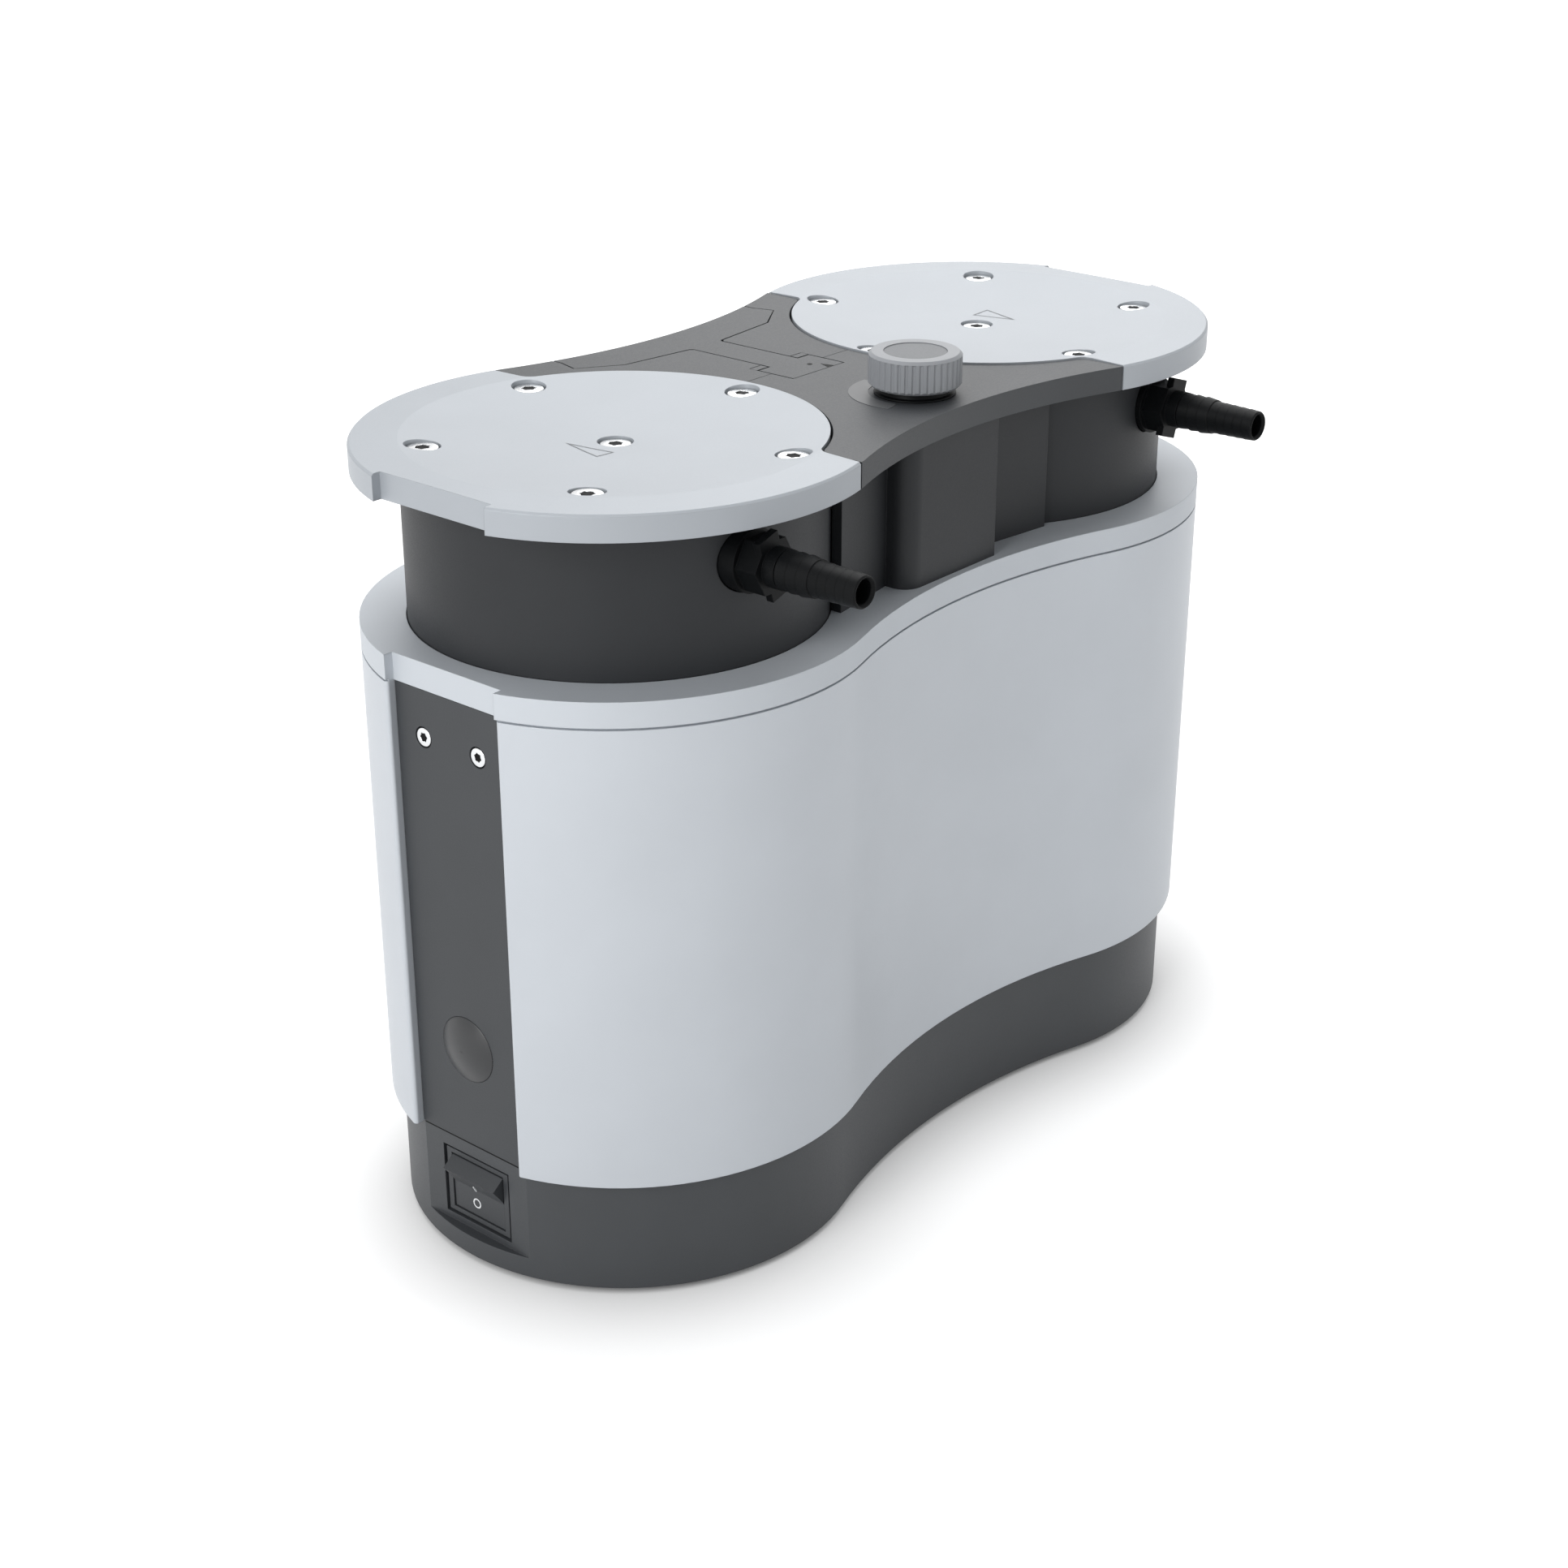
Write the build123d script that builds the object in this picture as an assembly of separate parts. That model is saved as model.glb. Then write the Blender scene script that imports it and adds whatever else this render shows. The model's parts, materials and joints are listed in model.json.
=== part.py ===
from build123d import *
import math
import os

# Twin-head diaphragm vacuum pump for the bench.
# Frame: origin on the standing surface below the middle of the pump, +Z up.
# X runs along the pump: the front end, with the rocker switch, is at -X.
# The hose connectors point along -Y. All sizes are in millimetres.

# ---- outline, seen from above: two round ends joined by a waist -------------------------
HEAD_OFFSET = 80.0        # pump head axis from the middle of the pump
SHELL_RADIUS = 70.0       # silver shell, lid and top plates round each head
SHELL_WAIST = 56.7        # half width of shell and lid at the waist
TOP_WAIST = 56.0          # half width of the bridge cover at the waist
BASE_RADIUS = 66.6        # dark base, set in under the shell
BASE_WAIST = 54.1
HEAD_RADIUS = 57.2        # dark housing round each pump head

# ---- heights, stacked from the floor ------------------------------------------------------
FOOT_STAND = 2.0          # rubber feet below the base
BASE_HEIGHT = 34.8
SHELL_HEIGHT = 134.1
SEAM = 0.6                # shadow gap between shell and lid
LID_THICKNESS = 7.1
HEAD_HEIGHT = 41.4        # head housing above the lid
PLATE_RIM = 7.2           # top plate at its outer edge
COVER_DROP = 0.2          # bridge cover below the top of the plates

Z_SHELL = FOOT_STAND + BASE_HEIGHT
Z_SEAM = Z_SHELL + SHELL_HEIGHT
Z_LID = Z_SEAM + SEAM + LID_THICKNESS
Z_PLATE = Z_LID + HEAD_HEIGHT
Z_RIM = Z_PLATE + PLATE_RIM
Z_COVER = Z_RIM - COVER_DROP

# ---- walls and clearances -----------------------------------------------------------------
BASE_WALL = 3.0
SHELL_WALL = 2.5
HOUSING_WALL = 2.5
COVER_SKIN = 2.0
RUNNING = 0.05            # radial clearance of a shaft in its bore
FREE = 0.3                # clearance between housing parts
SHADOW = 0.5              # visible gap round inset panels

# ---- ends ---------------------------------------------------------------------------------
STRIP_HALF = 20.2         # half width of the notch that holds each end strip
STRIP_DEPTH = 64.0        # strip face from the head axis
STRIP_THICKNESS = 2.5
BASE_FLAT = 63.5          # flat for the switch and the inlet, from the head axis
FLAT_SILL = 6.1           # ledge left below the flat
STRIP_SCREW_SPACING = 20.3
STRIP_SCREW_DROP = 13.7   # screws below the top of the strip
STRIP_HEAD_RADIUS = 2.6
STRIP_SHANK_RADIUS = 1.5
STRIP_POCKET = 1.4
STRIP_POCKET_RADIUS = 3.0
SCREW_HEAD_RADIUS = 4.3
SCREW_SHANK_RADIUS = 2.45
SCREW_HEAD_HEIGHT = 2.6
PLUG_RADIUS = 9.8
PLUG_HEIGHT = 30.7        # plug centre above the bottom of the strip
PLUG_DOME = 2.4
PLUG_STEM_RADIUS = 8.3

# ---- top plates ---------------------------------------------------------------------------
DISH_RADIUS = 57.0
DISH_DEPTH = 3.4
RIDGE_RISE = 0.3          # the ridge round the dish above the outer edge
PLATE_INNER_RADIUS = 56.8
PLATE_CORNER = 4.5        # rounding between the rim's end and the inner circle
PLATE_GAP = 0.7           # between each plate and the bridge cover
SHOULDER_OFFSET = 20.0    # end of the rim from the head axis, towards the waist
PLATE_SCREW_CIRCLE = 50.8
PLATE_SCREW_COUNT = 5
POCKET_DEPTH = 3.1
POCKET_CLEARANCE = 0.6

# ---- diaphragm drive ----------------------------------------------------------------------
SHAFT_HEIGHT = 92.0
SHAFT_RADIUS = 6.0
STROKE_HALF = 3.0         # eccentric offset
JOURNAL_RADIUS = 12.0
JOURNAL_WIDTH = 13.0
ROD_BEARING_RADIUS = 18.0
ROD_WIDTH = 11.0
ROD_RING = 6.0
SUPPORT_RADIUS = 30.0
SUPPORT_THICKNESS = 3.0
CLAMP_RADIUS = 27.0
CLAMP_THICKNESS = 2.0
STUD_RADIUS = 4.0
STUD_LENGTH = 14.0
DIAPHRAGM_RIM = 2.5
DIAPHRAGM_SHEET = 2.5
FLEX_RADIUS = 44.0        # free part of the diaphragm
COUNTERWEIGHT_RADIUS = 28.0
COUNTERWEIGHT_WIDTH = 6.0

# ---- crankcases and motor -----------------------------------------------------------------
CRANKCASE_RADIUS = 50.0
CRANKCASE_WALL = 4.0
CRANKCASE_FLAT = 28.0     # flat motor face from the head axis, towards the waist
CRANKCASE_BOTTOM = 50.0
SHOULDER_HEIGHT = 6.0     # ledge that carries the head housing
BEARING_RADIUS = 14.0
BEARING_WIDTH = 8.0
MOTOR_RADIUS = 44.0
MOTOR_WALL = 3.0
CORE_HALF = 28.0
ROTOR_RADIUS = 24.0
AIR_GAP = 0.5
WINDING_LENGTH = 11.0
FAN_RADIUS = 37.0
FAN_BLADES = 9

# ---- head stack ---------------------------------------------------------------------------
HEAD_PLATE_THICKNESS = 9.0
CHAMBER_DEPTH = 5.8
VALVE_OFFSET = 26.0
VALVE_RADIUS = 10.0
VALVE_THICKNESS = 1.0
PORT_RADIUS = 4.0
COLLAR_CLEARANCE = 0.7    # hose collar above the head plate

# ---- hose connectors ----------------------------------------------------------------------
CONNECTOR_OFFSET = 11.3   # outwards from the head axis
CONNECTOR_DROP = 12.7     # below the top plates
COLLAR_RADIUS = 8.5
COLLAR_LENGTH = 2.6
HEX_ACROSS = 13.6
HEX_LENGTH = 6.6
NECK_RADIUS = 5.4
NECK_LENGTH = 4.0
LARGE_LANDS = 3
SMALL_LANDS = 5
LARGE_PITCH = 3.35
SMALL_PITCH = 2.84
BARB_STEP = 0.65          # large lands stand this much over small ones
BARB_DEPTH = 0.4
BORE_RADIUS = 3.2
TAB_TURN = 18.0           # tabs of the connector, about its own axis, degrees

# ---- knob and valve -----------------------------------------------------------------------
KNOB_Y = -37.8
KNOB_RADIUS = 13.0
KNOB_HEIGHT = 9.4
KNOB_RIBS = 40
KNOB_CAP_RADIUS = 8.8
KNOB_CAP_THICKNESS = 1.0
KNOB_COLLAR_RADIUS = 11.5
KNOB_COLLAR_HEIGHT = 2.1
STEM_RADIUS = 4.0
VALVE_BODY_RADIUS = 9.0

# ---- carry handle -------------------------------------------------------------------------
HANDLE_HINGE_Y = 4.5
HANDLE_HINGE_DROP = 4.6
HANDLE_HALF = 43.5
HANDLE_STEM_HALF = 6.0
HANDLE_HEAD_HALF = 11.0
HANDLE_GRIP_DEPTH = 11.6
HANDLE_PIN_RADIUS = 1.5
HANDLE_BARREL_RADIUS = 3.0
FINGER_DROP = 28.0        # finger recess below the cover

# ---- switch and inlet ---------------------------------------------------------------------
SWITCH_HEIGHT = 21.3
BEZEL_WIDTH = 24.3
BEZEL_HEIGHT = 20.6
ROCKER_WIDTH = 20.0
ROCKER_HALF = 8.65
ROCKER_LIP = 3.7          # its upper half stands out this far
ROCKER_PIVOT_DEPTH = 3.0
ROCKER_PIN = 0.5          # pivot pins beyond its sides
SWITCH_BODY_DEPTH = 20.0
INLET_WIDTH = 24.6
INLET_HEIGHT = 16.4
INLET_DEPTH = 16.0
INLET_FLANGE = 2.5

UP = (Align.CENTER, Align.CENTER, Align.MIN)


# ---- helpers ------------------------------------------------------------------------------
def rod_x(radius, x0, x1, y=0.0, z=0.0):
    return Pos(x0, y, z) * Rot(0, 90, 0) * Cylinder(radius, x1 - x0, align=UP)


def rod_y(radius, y0, y1, x=0.0, z=0.0):
    return Pos(x, y0, z) * Rot(-90, 0, 0) * Cylinder(radius, y1 - y0, align=UP)


def rod_z(radius, z0, z1, x=0.0, y=0.0):
    return Pos(x, y, z0) * Cylinder(radius, z1 - z0, align=UP)


def block(x0, x1, y0, y1, z0, z1):
    middle = Pos((x0 + x1) / 2, (y0 + y1) / 2, (z0 + z1) / 2)
    return middle * Box(x1 - x0, y1 - y0, z1 - z0)


def rise(face, z0, z1):
    return Pos(0, 0, z0) * extrude(face, amount=z1 - z0, dir=(0, 0, 1))


def outline(points):
    return make_face(Polyline(*points, close=True))


def turned(profile):
    """A solid of revolution about Z from (radius, height) points."""
    face = make_face(Polyline(*[(r, 0, z) for r, z in profile], close=True))
    return revolve(face, axis=Axis.Z)


def group(parts):
    """Separate solids that share one node."""
    return Compound([solid for part in parts for solid in part.solids()])


def chord(radius, offset, half):
    """Distance from a circle's centre to the flat that clears a width of 2 * half at an offset."""
    return math.sqrt(radius**2 - (abs(offset) + half) ** 2)


def peanut(head_radius, waist_half):
    """Two round ends blended by concave arcs that meet them tangentially."""
    waist_radius = (HEAD_OFFSET**2 + waist_half**2 - head_radius**2) / (2 * (head_radius - waist_half))
    reach = waist_half + waist_radius
    share = head_radius / (head_radius + waist_radius)
    tx = HEAD_OFFSET * (1 - share)
    ty = reach * share
    end = HEAD_OFFSET + head_radius
    arcs = [
        ThreePointArc((-tx, ty), (0, waist_half), (tx, ty)),
        ThreePointArc((tx, ty), (end, 0), (tx, -ty)),
        ThreePointArc((tx, -ty), (0, -waist_half), (-tx, -ty)),
        ThreePointArc((-tx, -ty), (-end, 0), (-tx, ty)),
    ]
    return Face(Wire(arcs))


def at_front(part):
    """A head part is drawn round the Z axis with the waist towards +X."""
    return Pos(-HEAD_OFFSET, 0, 0) * part


def at_rear(part):
    return Pos(HEAD_OFFSET, 0, 0) * mirror(part, about=Plane.YZ)


def screw_points():
    """Plate screws round a head: one points at the waist."""
    step = 2 * math.pi / PLATE_SCREW_COUNT
    return [
        (PLATE_SCREW_CIRCLE * math.cos(i * step), PLATE_SCREW_CIRCLE * math.sin(i * step))
        for i in range(PLATE_SCREW_COUNT)
    ]


def end_box(depth, half, z0, z1, side):
    """What lies beyond a flat across one end of the pump."""
    near = side * (HEAD_OFFSET + depth)
    far = side * (HEAD_OFFSET + SHELL_RADIUS + 10)
    return block(min(near, far), max(near, far), -half, half, z0, z1)


# ---- base ---------------------------------------------------------------------------------
FLOOR_TOP = FOOT_STAND + BASE_WALL
FOOT_RADIUS = 9.0
FOOT_X = 20.0
FOOT_Y = 38.0
FOOT_INSET = 1.0
BUFFER_RADIUS = 8.0
BUFFER_Y = 26.0
BUFFER_HEIGHT = 20.0
BOARD_Z = 18.0
BOARD_THICKNESS = 1.6
BOARD_HALF_LENGTH = 58.0
BOARD_HALF_WIDTH = 34.0
PANEL_THICKNESS = 2.0
INLET_COLLAR = 1.2
PANEL_FACE = BASE_FLAT - BASE_WALL


def foot_points():
    return [
        (sx * (HEAD_OFFSET + FOOT_X), sy * FOOT_Y) for sx in (-1, 1) for sy in (-1, 1)
    ]


def buffer_points():
    return [(sx * HEAD_OFFSET, sy * BUFFER_Y) for sx in (-1, 1) for sy in (-1, 1)]


def board_points():
    inset = 6.0
    return [
        (sx * (BOARD_HALF_LENGTH - inset), sy * (BOARD_HALF_WIDTH - inset))
        for sx in (-1, 1)
        for sy in (-1, 1)
    ]


def base_tub():
    outer = rise(peanut(BASE_RADIUS, BASE_WAIST), FOOT_STAND, Z_SHELL)
    inside = peanut(BASE_RADIUS - BASE_WALL, BASE_WAIST - BASE_WALL)
    cavity = rise(inside, FLOOR_TOP, Z_SHELL)
    limit = HEAD_OFFSET + PANEL_FACE
    cavity &= block(-limit, limit, -BASE_RADIUS, BASE_RADIUS, 0, Z_SHELL)
    tub = outer - cavity
    for side in (-1, 1):
        tub -= end_box(BASE_FLAT, BASE_RADIUS, FOOT_STAND + FLAT_SILL, Z_SHELL, side)
    # switch recess, with a snap panel behind it
    face = -(HEAD_OFFSET + BASE_FLAT)
    back = -(HEAD_OFFSET + PANEL_FACE)
    half_w = BEZEL_WIDTH / 2
    half_h = BEZEL_HEIGHT / 2
    gap = 0.85
    tub -= block(
        face - 1, back, -half_w - gap, half_w + gap,
        SWITCH_HEIGHT - half_h - gap, SWITCH_HEIGHT + half_h + gap,
    )
    panel = block(
        back, back + PANEL_THICKNESS, -half_w - 4, half_w + 4, FLOOR_TOP, Z_SHELL - 1
    )
    tub += panel - switch_cutout(back - 1, back + PANEL_THICKNESS + 1)
    # opening for the mains inlet
    tub -= inlet_prism(INLET_COLLAR + 0.2, -back - 1, -face + 1)
    for x, y in foot_points():
        tub -= rod_z(FOOT_RADIUS + 0.15, FOOT_STAND, FOOT_STAND + FOOT_INSET, x, y)
    for x, y in buffer_points():
        tub += rod_z(BUFFER_RADIUS + 1, FLOOR_TOP, CRANKCASE_BOTTOM - BUFFER_HEIGHT, x, y)
    for x, y in board_points():
        tub += rod_z(3.0, FLOOR_TOP, BOARD_Z, x, y)
    return tub


def switch_cutout(x0, x1, slack=0.05):
    half_w = BEZEL_WIDTH / 2 - 1.2 + slack
    half_h = BEZEL_HEIGHT / 2 - 0.9 + slack
    return block(x0, x1, -half_w, half_w, SWITCH_HEIGHT - half_h, SWITCH_HEIGHT + half_h)


def rubber_feet():
    feet = [
        rod_z(FOOT_RADIUS, 0, FOOT_STAND + FOOT_INSET, x, y)
        - rod_z(2.5, 0, 1.2, x, y)
        for x, y in foot_points()
    ]
    return group(feet)


def rubber_buffers():
    bottom = CRANKCASE_BOTTOM - BUFFER_HEIGHT
    waist = BUFFER_RADIUS - 1.5
    profile = [
        (0, bottom), (BUFFER_RADIUS, bottom), (BUFFER_RADIUS, bottom + 4),
        (waist, bottom + BUFFER_HEIGHT / 2), (BUFFER_RADIUS, CRANKCASE_BOTTOM - 4),
        (BUFFER_RADIUS, CRANKCASE_BOTTOM), (0, CRANKCASE_BOTTOM),
    ]
    buffer = turned(profile)
    return group([Pos(x, y, 0) * buffer for x, y in buffer_points()])


def circuit_board():
    board = block(
        -BOARD_HALF_LENGTH, BOARD_HALF_LENGTH, -BOARD_HALF_WIDTH, BOARD_HALF_WIDTH,
        BOARD_Z, BOARD_Z + BOARD_THICKNESS,
    )
    return board


CAPACITOR_RADIUS = 10.0


def run_capacitor():
    z = BOARD_Z + BOARD_THICKNESS + CAPACITOR_RADIUS
    can = rod_x(CAPACITOR_RADIUS, -32, 32, 16, z)
    saddle = block(-26, 26, 12, 20, BOARD_Z + BOARD_THICKNESS, z)
    return can + saddle


# ---- shell, strips and lid ----------------------------------------------------------------
SHELL_LEDGE = 2.5
RETURN_WALL = 2.0
CORNER_ROUND = 1.0
STRIP_GAP = 0.2
STRIP_SEAM = 0.5


def side_shell(side):
    """One half of the silver shell; side is -1 for the connector side."""
    outer = peanut(SHELL_RADIUS, SHELL_WAIST)
    inner_r = SHELL_RADIUS - SHELL_WALL
    inner = peanut(inner_r, SHELL_WAIST - SHELL_WALL)
    skin = rise(outer, Z_SHELL, Z_SEAM) - rise(inner, Z_SHELL, Z_SEAM)
    seat = peanut(BASE_RADIUS - BASE_WALL + FREE, BASE_WAIST - BASE_WALL + FREE)
    skin += rise(inner, Z_SHELL, Z_SHELL + SHELL_LEDGE) - rise(seat, Z_SHELL, Z_SHELL + SHELL_LEDGE)
    for end in (-1, 1):
        back = HEAD_OFFSET + STRIP_DEPTH - STRIP_THICKNESS
        x0, x1 = sorted((end * back, end * (HEAD_OFFSET + SHELL_RADIUS)))
        wall = block(x0, x1, -STRIP_HALF - RETURN_WALL, STRIP_HALF + RETURN_WALL, Z_SHELL, Z_SEAM)
        skin += wall & rise(outer, Z_SHELL, Z_SEAM)
    low, high = sorted((side * STRIP_HALF, side * (SHELL_RADIUS + 1)))
    end = HEAD_OFFSET + SHELL_RADIUS + 1
    half = skin & block(-end, end, low, high, Z_SHELL, Z_SEAM)
    corners = [
        e for e in half.edges().filter_by(Axis.Z)
        if abs(abs(e.center().Y) - STRIP_HALF) < 0.01 and abs(e.center().X) > HEAD_OFFSET + STRIP_DEPTH
    ]
    return fillet(corners, CORNER_ROUND)


def strip_screw_points():
    half = STRIP_SCREW_SPACING / 2
    return [(y, Z_SEAM - STRIP_SCREW_DROP) for y in (-half, half)]


def end_strip(with_plug):
    """Dark strip down the front end; the rear one is its mirror image."""
    x0 = -(HEAD_OFFSET + STRIP_DEPTH)
    x1 = x0 + STRIP_THICKNESS
    half = STRIP_HALF - STRIP_GAP
    strip = block(x0, x1, -half, half, Z_SHELL + STRIP_SEAM, Z_SEAM - STRIP_GAP)
    for y, z in strip_screw_points():
        strip -= rod_x(STRIP_POCKET_RADIUS, x0, x0 + STRIP_POCKET, y, z)
        strip -= rod_x(STRIP_SHANK_RADIUS + FREE, x0, x1, y, z)
    if with_plug:
        strip -= rod_x(PLUG_STEM_RADIUS + 0.1, x0, x1, 0, Z_SHELL + PLUG_HEIGHT)
    return strip


def front_plug():
    """Domed rubber plug snapped into the front strip."""
    x0 = -(HEAD_OFFSET + STRIP_DEPTH)
    stem = PLUG_STEM_RADIUS
    sphere = (PLUG_RADIUS**2 + PLUG_DOME**2) / (2 * PLUG_DOME)
    dome_top = PLUG_DOME
    arc = ThreePointArc(
        (PLUG_RADIUS, 0),
        (PLUG_RADIUS / 2, math.sqrt(sphere**2 - (PLUG_RADIUS / 2) ** 2) - sphere + dome_top),
        (0, dome_top),
    )
    lip = stem + 0.8
    deep = STRIP_THICKNESS
    rest = Polyline(
        (0, dome_top), (0, -deep - 1.5), (stem - 0.4, -deep - 1.5), (lip, -deep - 0.1),
        (stem, -deep - 0.1), (stem, 0), (PLUG_RADIUS, 0),
    )
    plug = revolve(make_face([arc, *rest.edges()]), axis=Axis.Y)
    return Pos(x0, 0, Z_SHELL + PLUG_HEIGHT) * Rot(0, 0, 90) * plug


def screw(head_radius, head_height, shank_radius, shank_length):
    """Pan-head screw along Z, the underside of its head at z = 0."""
    body = rod_z(head_radius, 0, head_height) + rod_z(shank_radius, -shank_length, 0)
    body = chamfer(body.edges().filter_by(GeomType.CIRCLE).sort_by(Axis.Z)[-1], 0.4)
    socket = extrude(RegularPolygon(head_radius * 0.5, 6), amount=head_height * 0.6)
    return body - Pos(0, 0, head_height - head_height * 0.6) * socket


def strip_screws():
    x0 = -(HEAD_OFFSET + STRIP_DEPTH)
    one = screw(STRIP_HEAD_RADIUS, STRIP_POCKET, STRIP_SHANK_RADIUS, STRIP_THICKNESS + 6)
    front = [Pos(x0 + STRIP_POCKET, y, z) * Rot(0, -90, 0) * one for y, z in strip_screw_points()]
    rear = [mirror(s, about=Plane.YZ) for s in front]
    return group(front + rear)


LID_SKIN = 3.0
LID_WALL = 3.0
LID_HOLE = HEAD_RADIUS + FREE
RIB_DEPTH = 4.0


def lid_ring():
    low = Z_SEAM
    outer = peanut(SHELL_RADIUS, SHELL_WAIST)
    lid = rise(outer, Z_SEAM + SEAM, Z_LID)
    lid += rise(peanut(SHELL_RADIUS - 1, SHELL_WAIST - 1), low, Z_SEAM + SEAM)
    hollow = rise(peanut(SHELL_RADIUS - 1 - LID_WALL, SHELL_WAIST - 1 - LID_WALL), low, Z_LID - LID_SKIN)
    for side in (-1, 1):
        hollow -= rod_z(LID_HOLE + LID_WALL, low, Z_LID, side * HEAD_OFFSET)
        hollow -= end_box(STRIP_DEPTH - LID_WALL - 2, SHELL_RADIUS, low, Z_LID, side)
    lid -= hollow
    rib_out = SHELL_WALL + FREE
    rib_in = rib_out + 1.6
    rib = rise(peanut(SHELL_RADIUS - rib_out, SHELL_WAIST - rib_out), low - RIB_DEPTH, low)
    rib -= rise(peanut(SHELL_RADIUS - rib_in, SHELL_WAIST - rib_in), low - RIB_DEPTH, low)
    for side in (-1, 1):
        rib -= end_box(HEAD_RADIUS - 10, STRIP_HALF + 3, low - RIB_DEPTH, low, side)
    lid += rib
    for side in (-1, 1):
        lid -= rod_z(LID_HOLE, low - RIB_DEPTH, Z_LID, side * HEAD_OFFSET)
        lid -= end_box(STRIP_DEPTH + 0.2, STRIP_HALF, low - RIB_DEPTH, Z_LID, side)
    return lid


# ---- pump head, drawn round the Z axis with the waist towards +X --------------------------
HOUSING_BOTTOM = Z_SEAM - FREE
FLANGE_RADIUS = HEAD_RADIUS - HOUSING_WALL - FREE
Z_CONNECTOR = Z_PLATE - CONNECTOR_DROP
HEAD_PLATE_TOP = Z_CONNECTOR - COLLAR_RADIUS - COLLAR_CLEARANCE
RIM_TOP = HEAD_PLATE_TOP - HEAD_PLATE_THICKNESS
FLANGE_TOP = RIM_TOP - DIAPHRAGM_RIM
LONG_SHANK_END = FLANGE_TOP - 10
TUBE_RADIUS = 5.0
SEAL_THICKNESS = 1.5
FACE_MARGIN = 1.0
PORT_FACE = chord(FLANGE_RADIUS, CONNECTOR_OFFSET, COLLAR_RADIUS + FACE_MARGIN)
TUBE_FACE = chord(FLANGE_RADIUS, KNOB_Y, TUBE_RADIUS + FACE_MARGIN)


def through_screws(part, low, high, radius=SCREW_SHANK_RADIUS + 0.3):
    for x, y in screw_points():
        part -= rod_z(radius, low, high, x, y)
    return part


def head_housing():
    """Dark sleeve round a pump head, standing on the crankcase shoulder."""
    sleeve = rod_z(HEAD_RADIUS, HOUSING_BOTTOM, Z_PLATE)
    sleeve -= rod_z(HEAD_RADIUS - HOUSING_WALL, HOUSING_BOTTOM, Z_PLATE)
    sleeve -= rod_y(COLLAR_RADIUS + FREE, -HEAD_RADIUS - 1, 0, -CONNECTOR_OFFSET, Z_CONNECTOR)
    sleeve -= rod_x(TUBE_RADIUS + FREE, 0, HEAD_RADIUS + 1, KNOB_Y, Z_CONNECTOR)
    return sleeve


def head_cover():
    """Gas manifold under the top plate: an inlet and an outlet chamber with their ports."""
    cover = rod_z(FLANGE_RADIUS, HEAD_PLATE_TOP, Z_PLATE)
    for x, y in valve_points():
        cover -= rod_z(VALVE_RADIUS + 0.2, HEAD_PLATE_TOP, Z_CONNECTOR + PORT_RADIUS, x, y)
    cover -= rod_y(PORT_RADIUS + 1, -HEAD_RADIUS, -VALVE_OFFSET, -CONNECTOR_OFFSET, Z_CONNECTOR)
    cover -= rod_y(COLLAR_RADIUS + FREE, -HEAD_RADIUS, -PORT_FACE, -CONNECTOR_OFFSET, Z_CONNECTOR)
    cover -= rod_x(PORT_RADIUS, VALVE_OFFSET / 2, HEAD_RADIUS, KNOB_Y, Z_CONNECTOR)
    cover -= rod_x(TUBE_RADIUS + FREE, TUBE_FACE, HEAD_RADIUS, KNOB_Y, Z_CONNECTOR)
    cover -= rod_z(SCREW_SHANK_RADIUS, Z_PLATE - 10, Z_PLATE)
    return through_screws(cover, HEAD_PLATE_TOP, Z_PLATE)


def valve_points():
    return [(-CONNECTOR_OFFSET, -VALVE_OFFSET), (VALVE_OFFSET * 0.6, -VALVE_OFFSET)]


def head_plate():
    """Plate over the diaphragm: a shallow chamber below, valve seats above."""
    plate = rod_z(FLANGE_RADIUS, RIM_TOP, HEAD_PLATE_TOP)
    chamber = turned([
        (0, RIM_TOP), (FLEX_RADIUS, RIM_TOP),
        (CLAMP_RADIUS + STROKE_HALF + 1, RIM_TOP + CHAMBER_DEPTH), (0, RIM_TOP + CHAMBER_DEPTH),
    ])
    plate -= chamber
    for x, y in valve_points():
        plate -= rod_z(VALVE_RADIUS, HEAD_PLATE_TOP - VALVE_THICKNESS, HEAD_PLATE_TOP, x, y)
        plate -= rod_z(PORT_RADIUS, RIM_TOP, HEAD_PLATE_TOP, x, y)
    return through_screws(plate, RIM_TOP, HEAD_PLATE_TOP)


def valve_discs():
    disc_top = HEAD_PLATE_TOP
    discs = [
        rod_z(VALVE_RADIUS - 0.1, disc_top - VALVE_THICKNESS, disc_top, x, y)
        for x, y in valve_points()
    ]
    front = [at_front(d) for d in discs]
    rear = [at_rear(d) for d in discs]
    return group(front + rear)


def diaphragm(lift):
    """Moulded sheet, clamped at its rim and lifted by lift in the middle."""
    low = FLANGE_TOP
    mid = low + lift
    profile = [
        (STUD_RADIUS + 0.2, mid), (SUPPORT_RADIUS, mid), (FLEX_RADIUS, low), (FLANGE_RADIUS, low),
        (FLANGE_RADIUS, low + DIAPHRAGM_RIM), (FLEX_RADIUS, low + DIAPHRAGM_RIM),
        (SUPPORT_RADIUS, mid + DIAPHRAGM_SHEET), (STUD_RADIUS + 0.2, mid + DIAPHRAGM_SHEET),
    ]
    return through_screws(turned(profile), low, low + DIAPHRAGM_RIM)


def clamp_disc(lift):
    """Disc above the diaphragm, with the stud that holds it to the rod."""
    low = FLANGE_TOP + DIAPHRAGM_SHEET + lift
    disc = rod_z(CLAMP_RADIUS, low, low + CLAMP_THICKNESS)
    edge = disc.edges().filter_by(GeomType.CIRCLE).sort_by(Axis.Z)[-1]
    return chamfer(edge, CLAMP_THICKNESS * 0.6) + rod_z(STUD_RADIUS, low - STUD_LENGTH, low)


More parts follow.
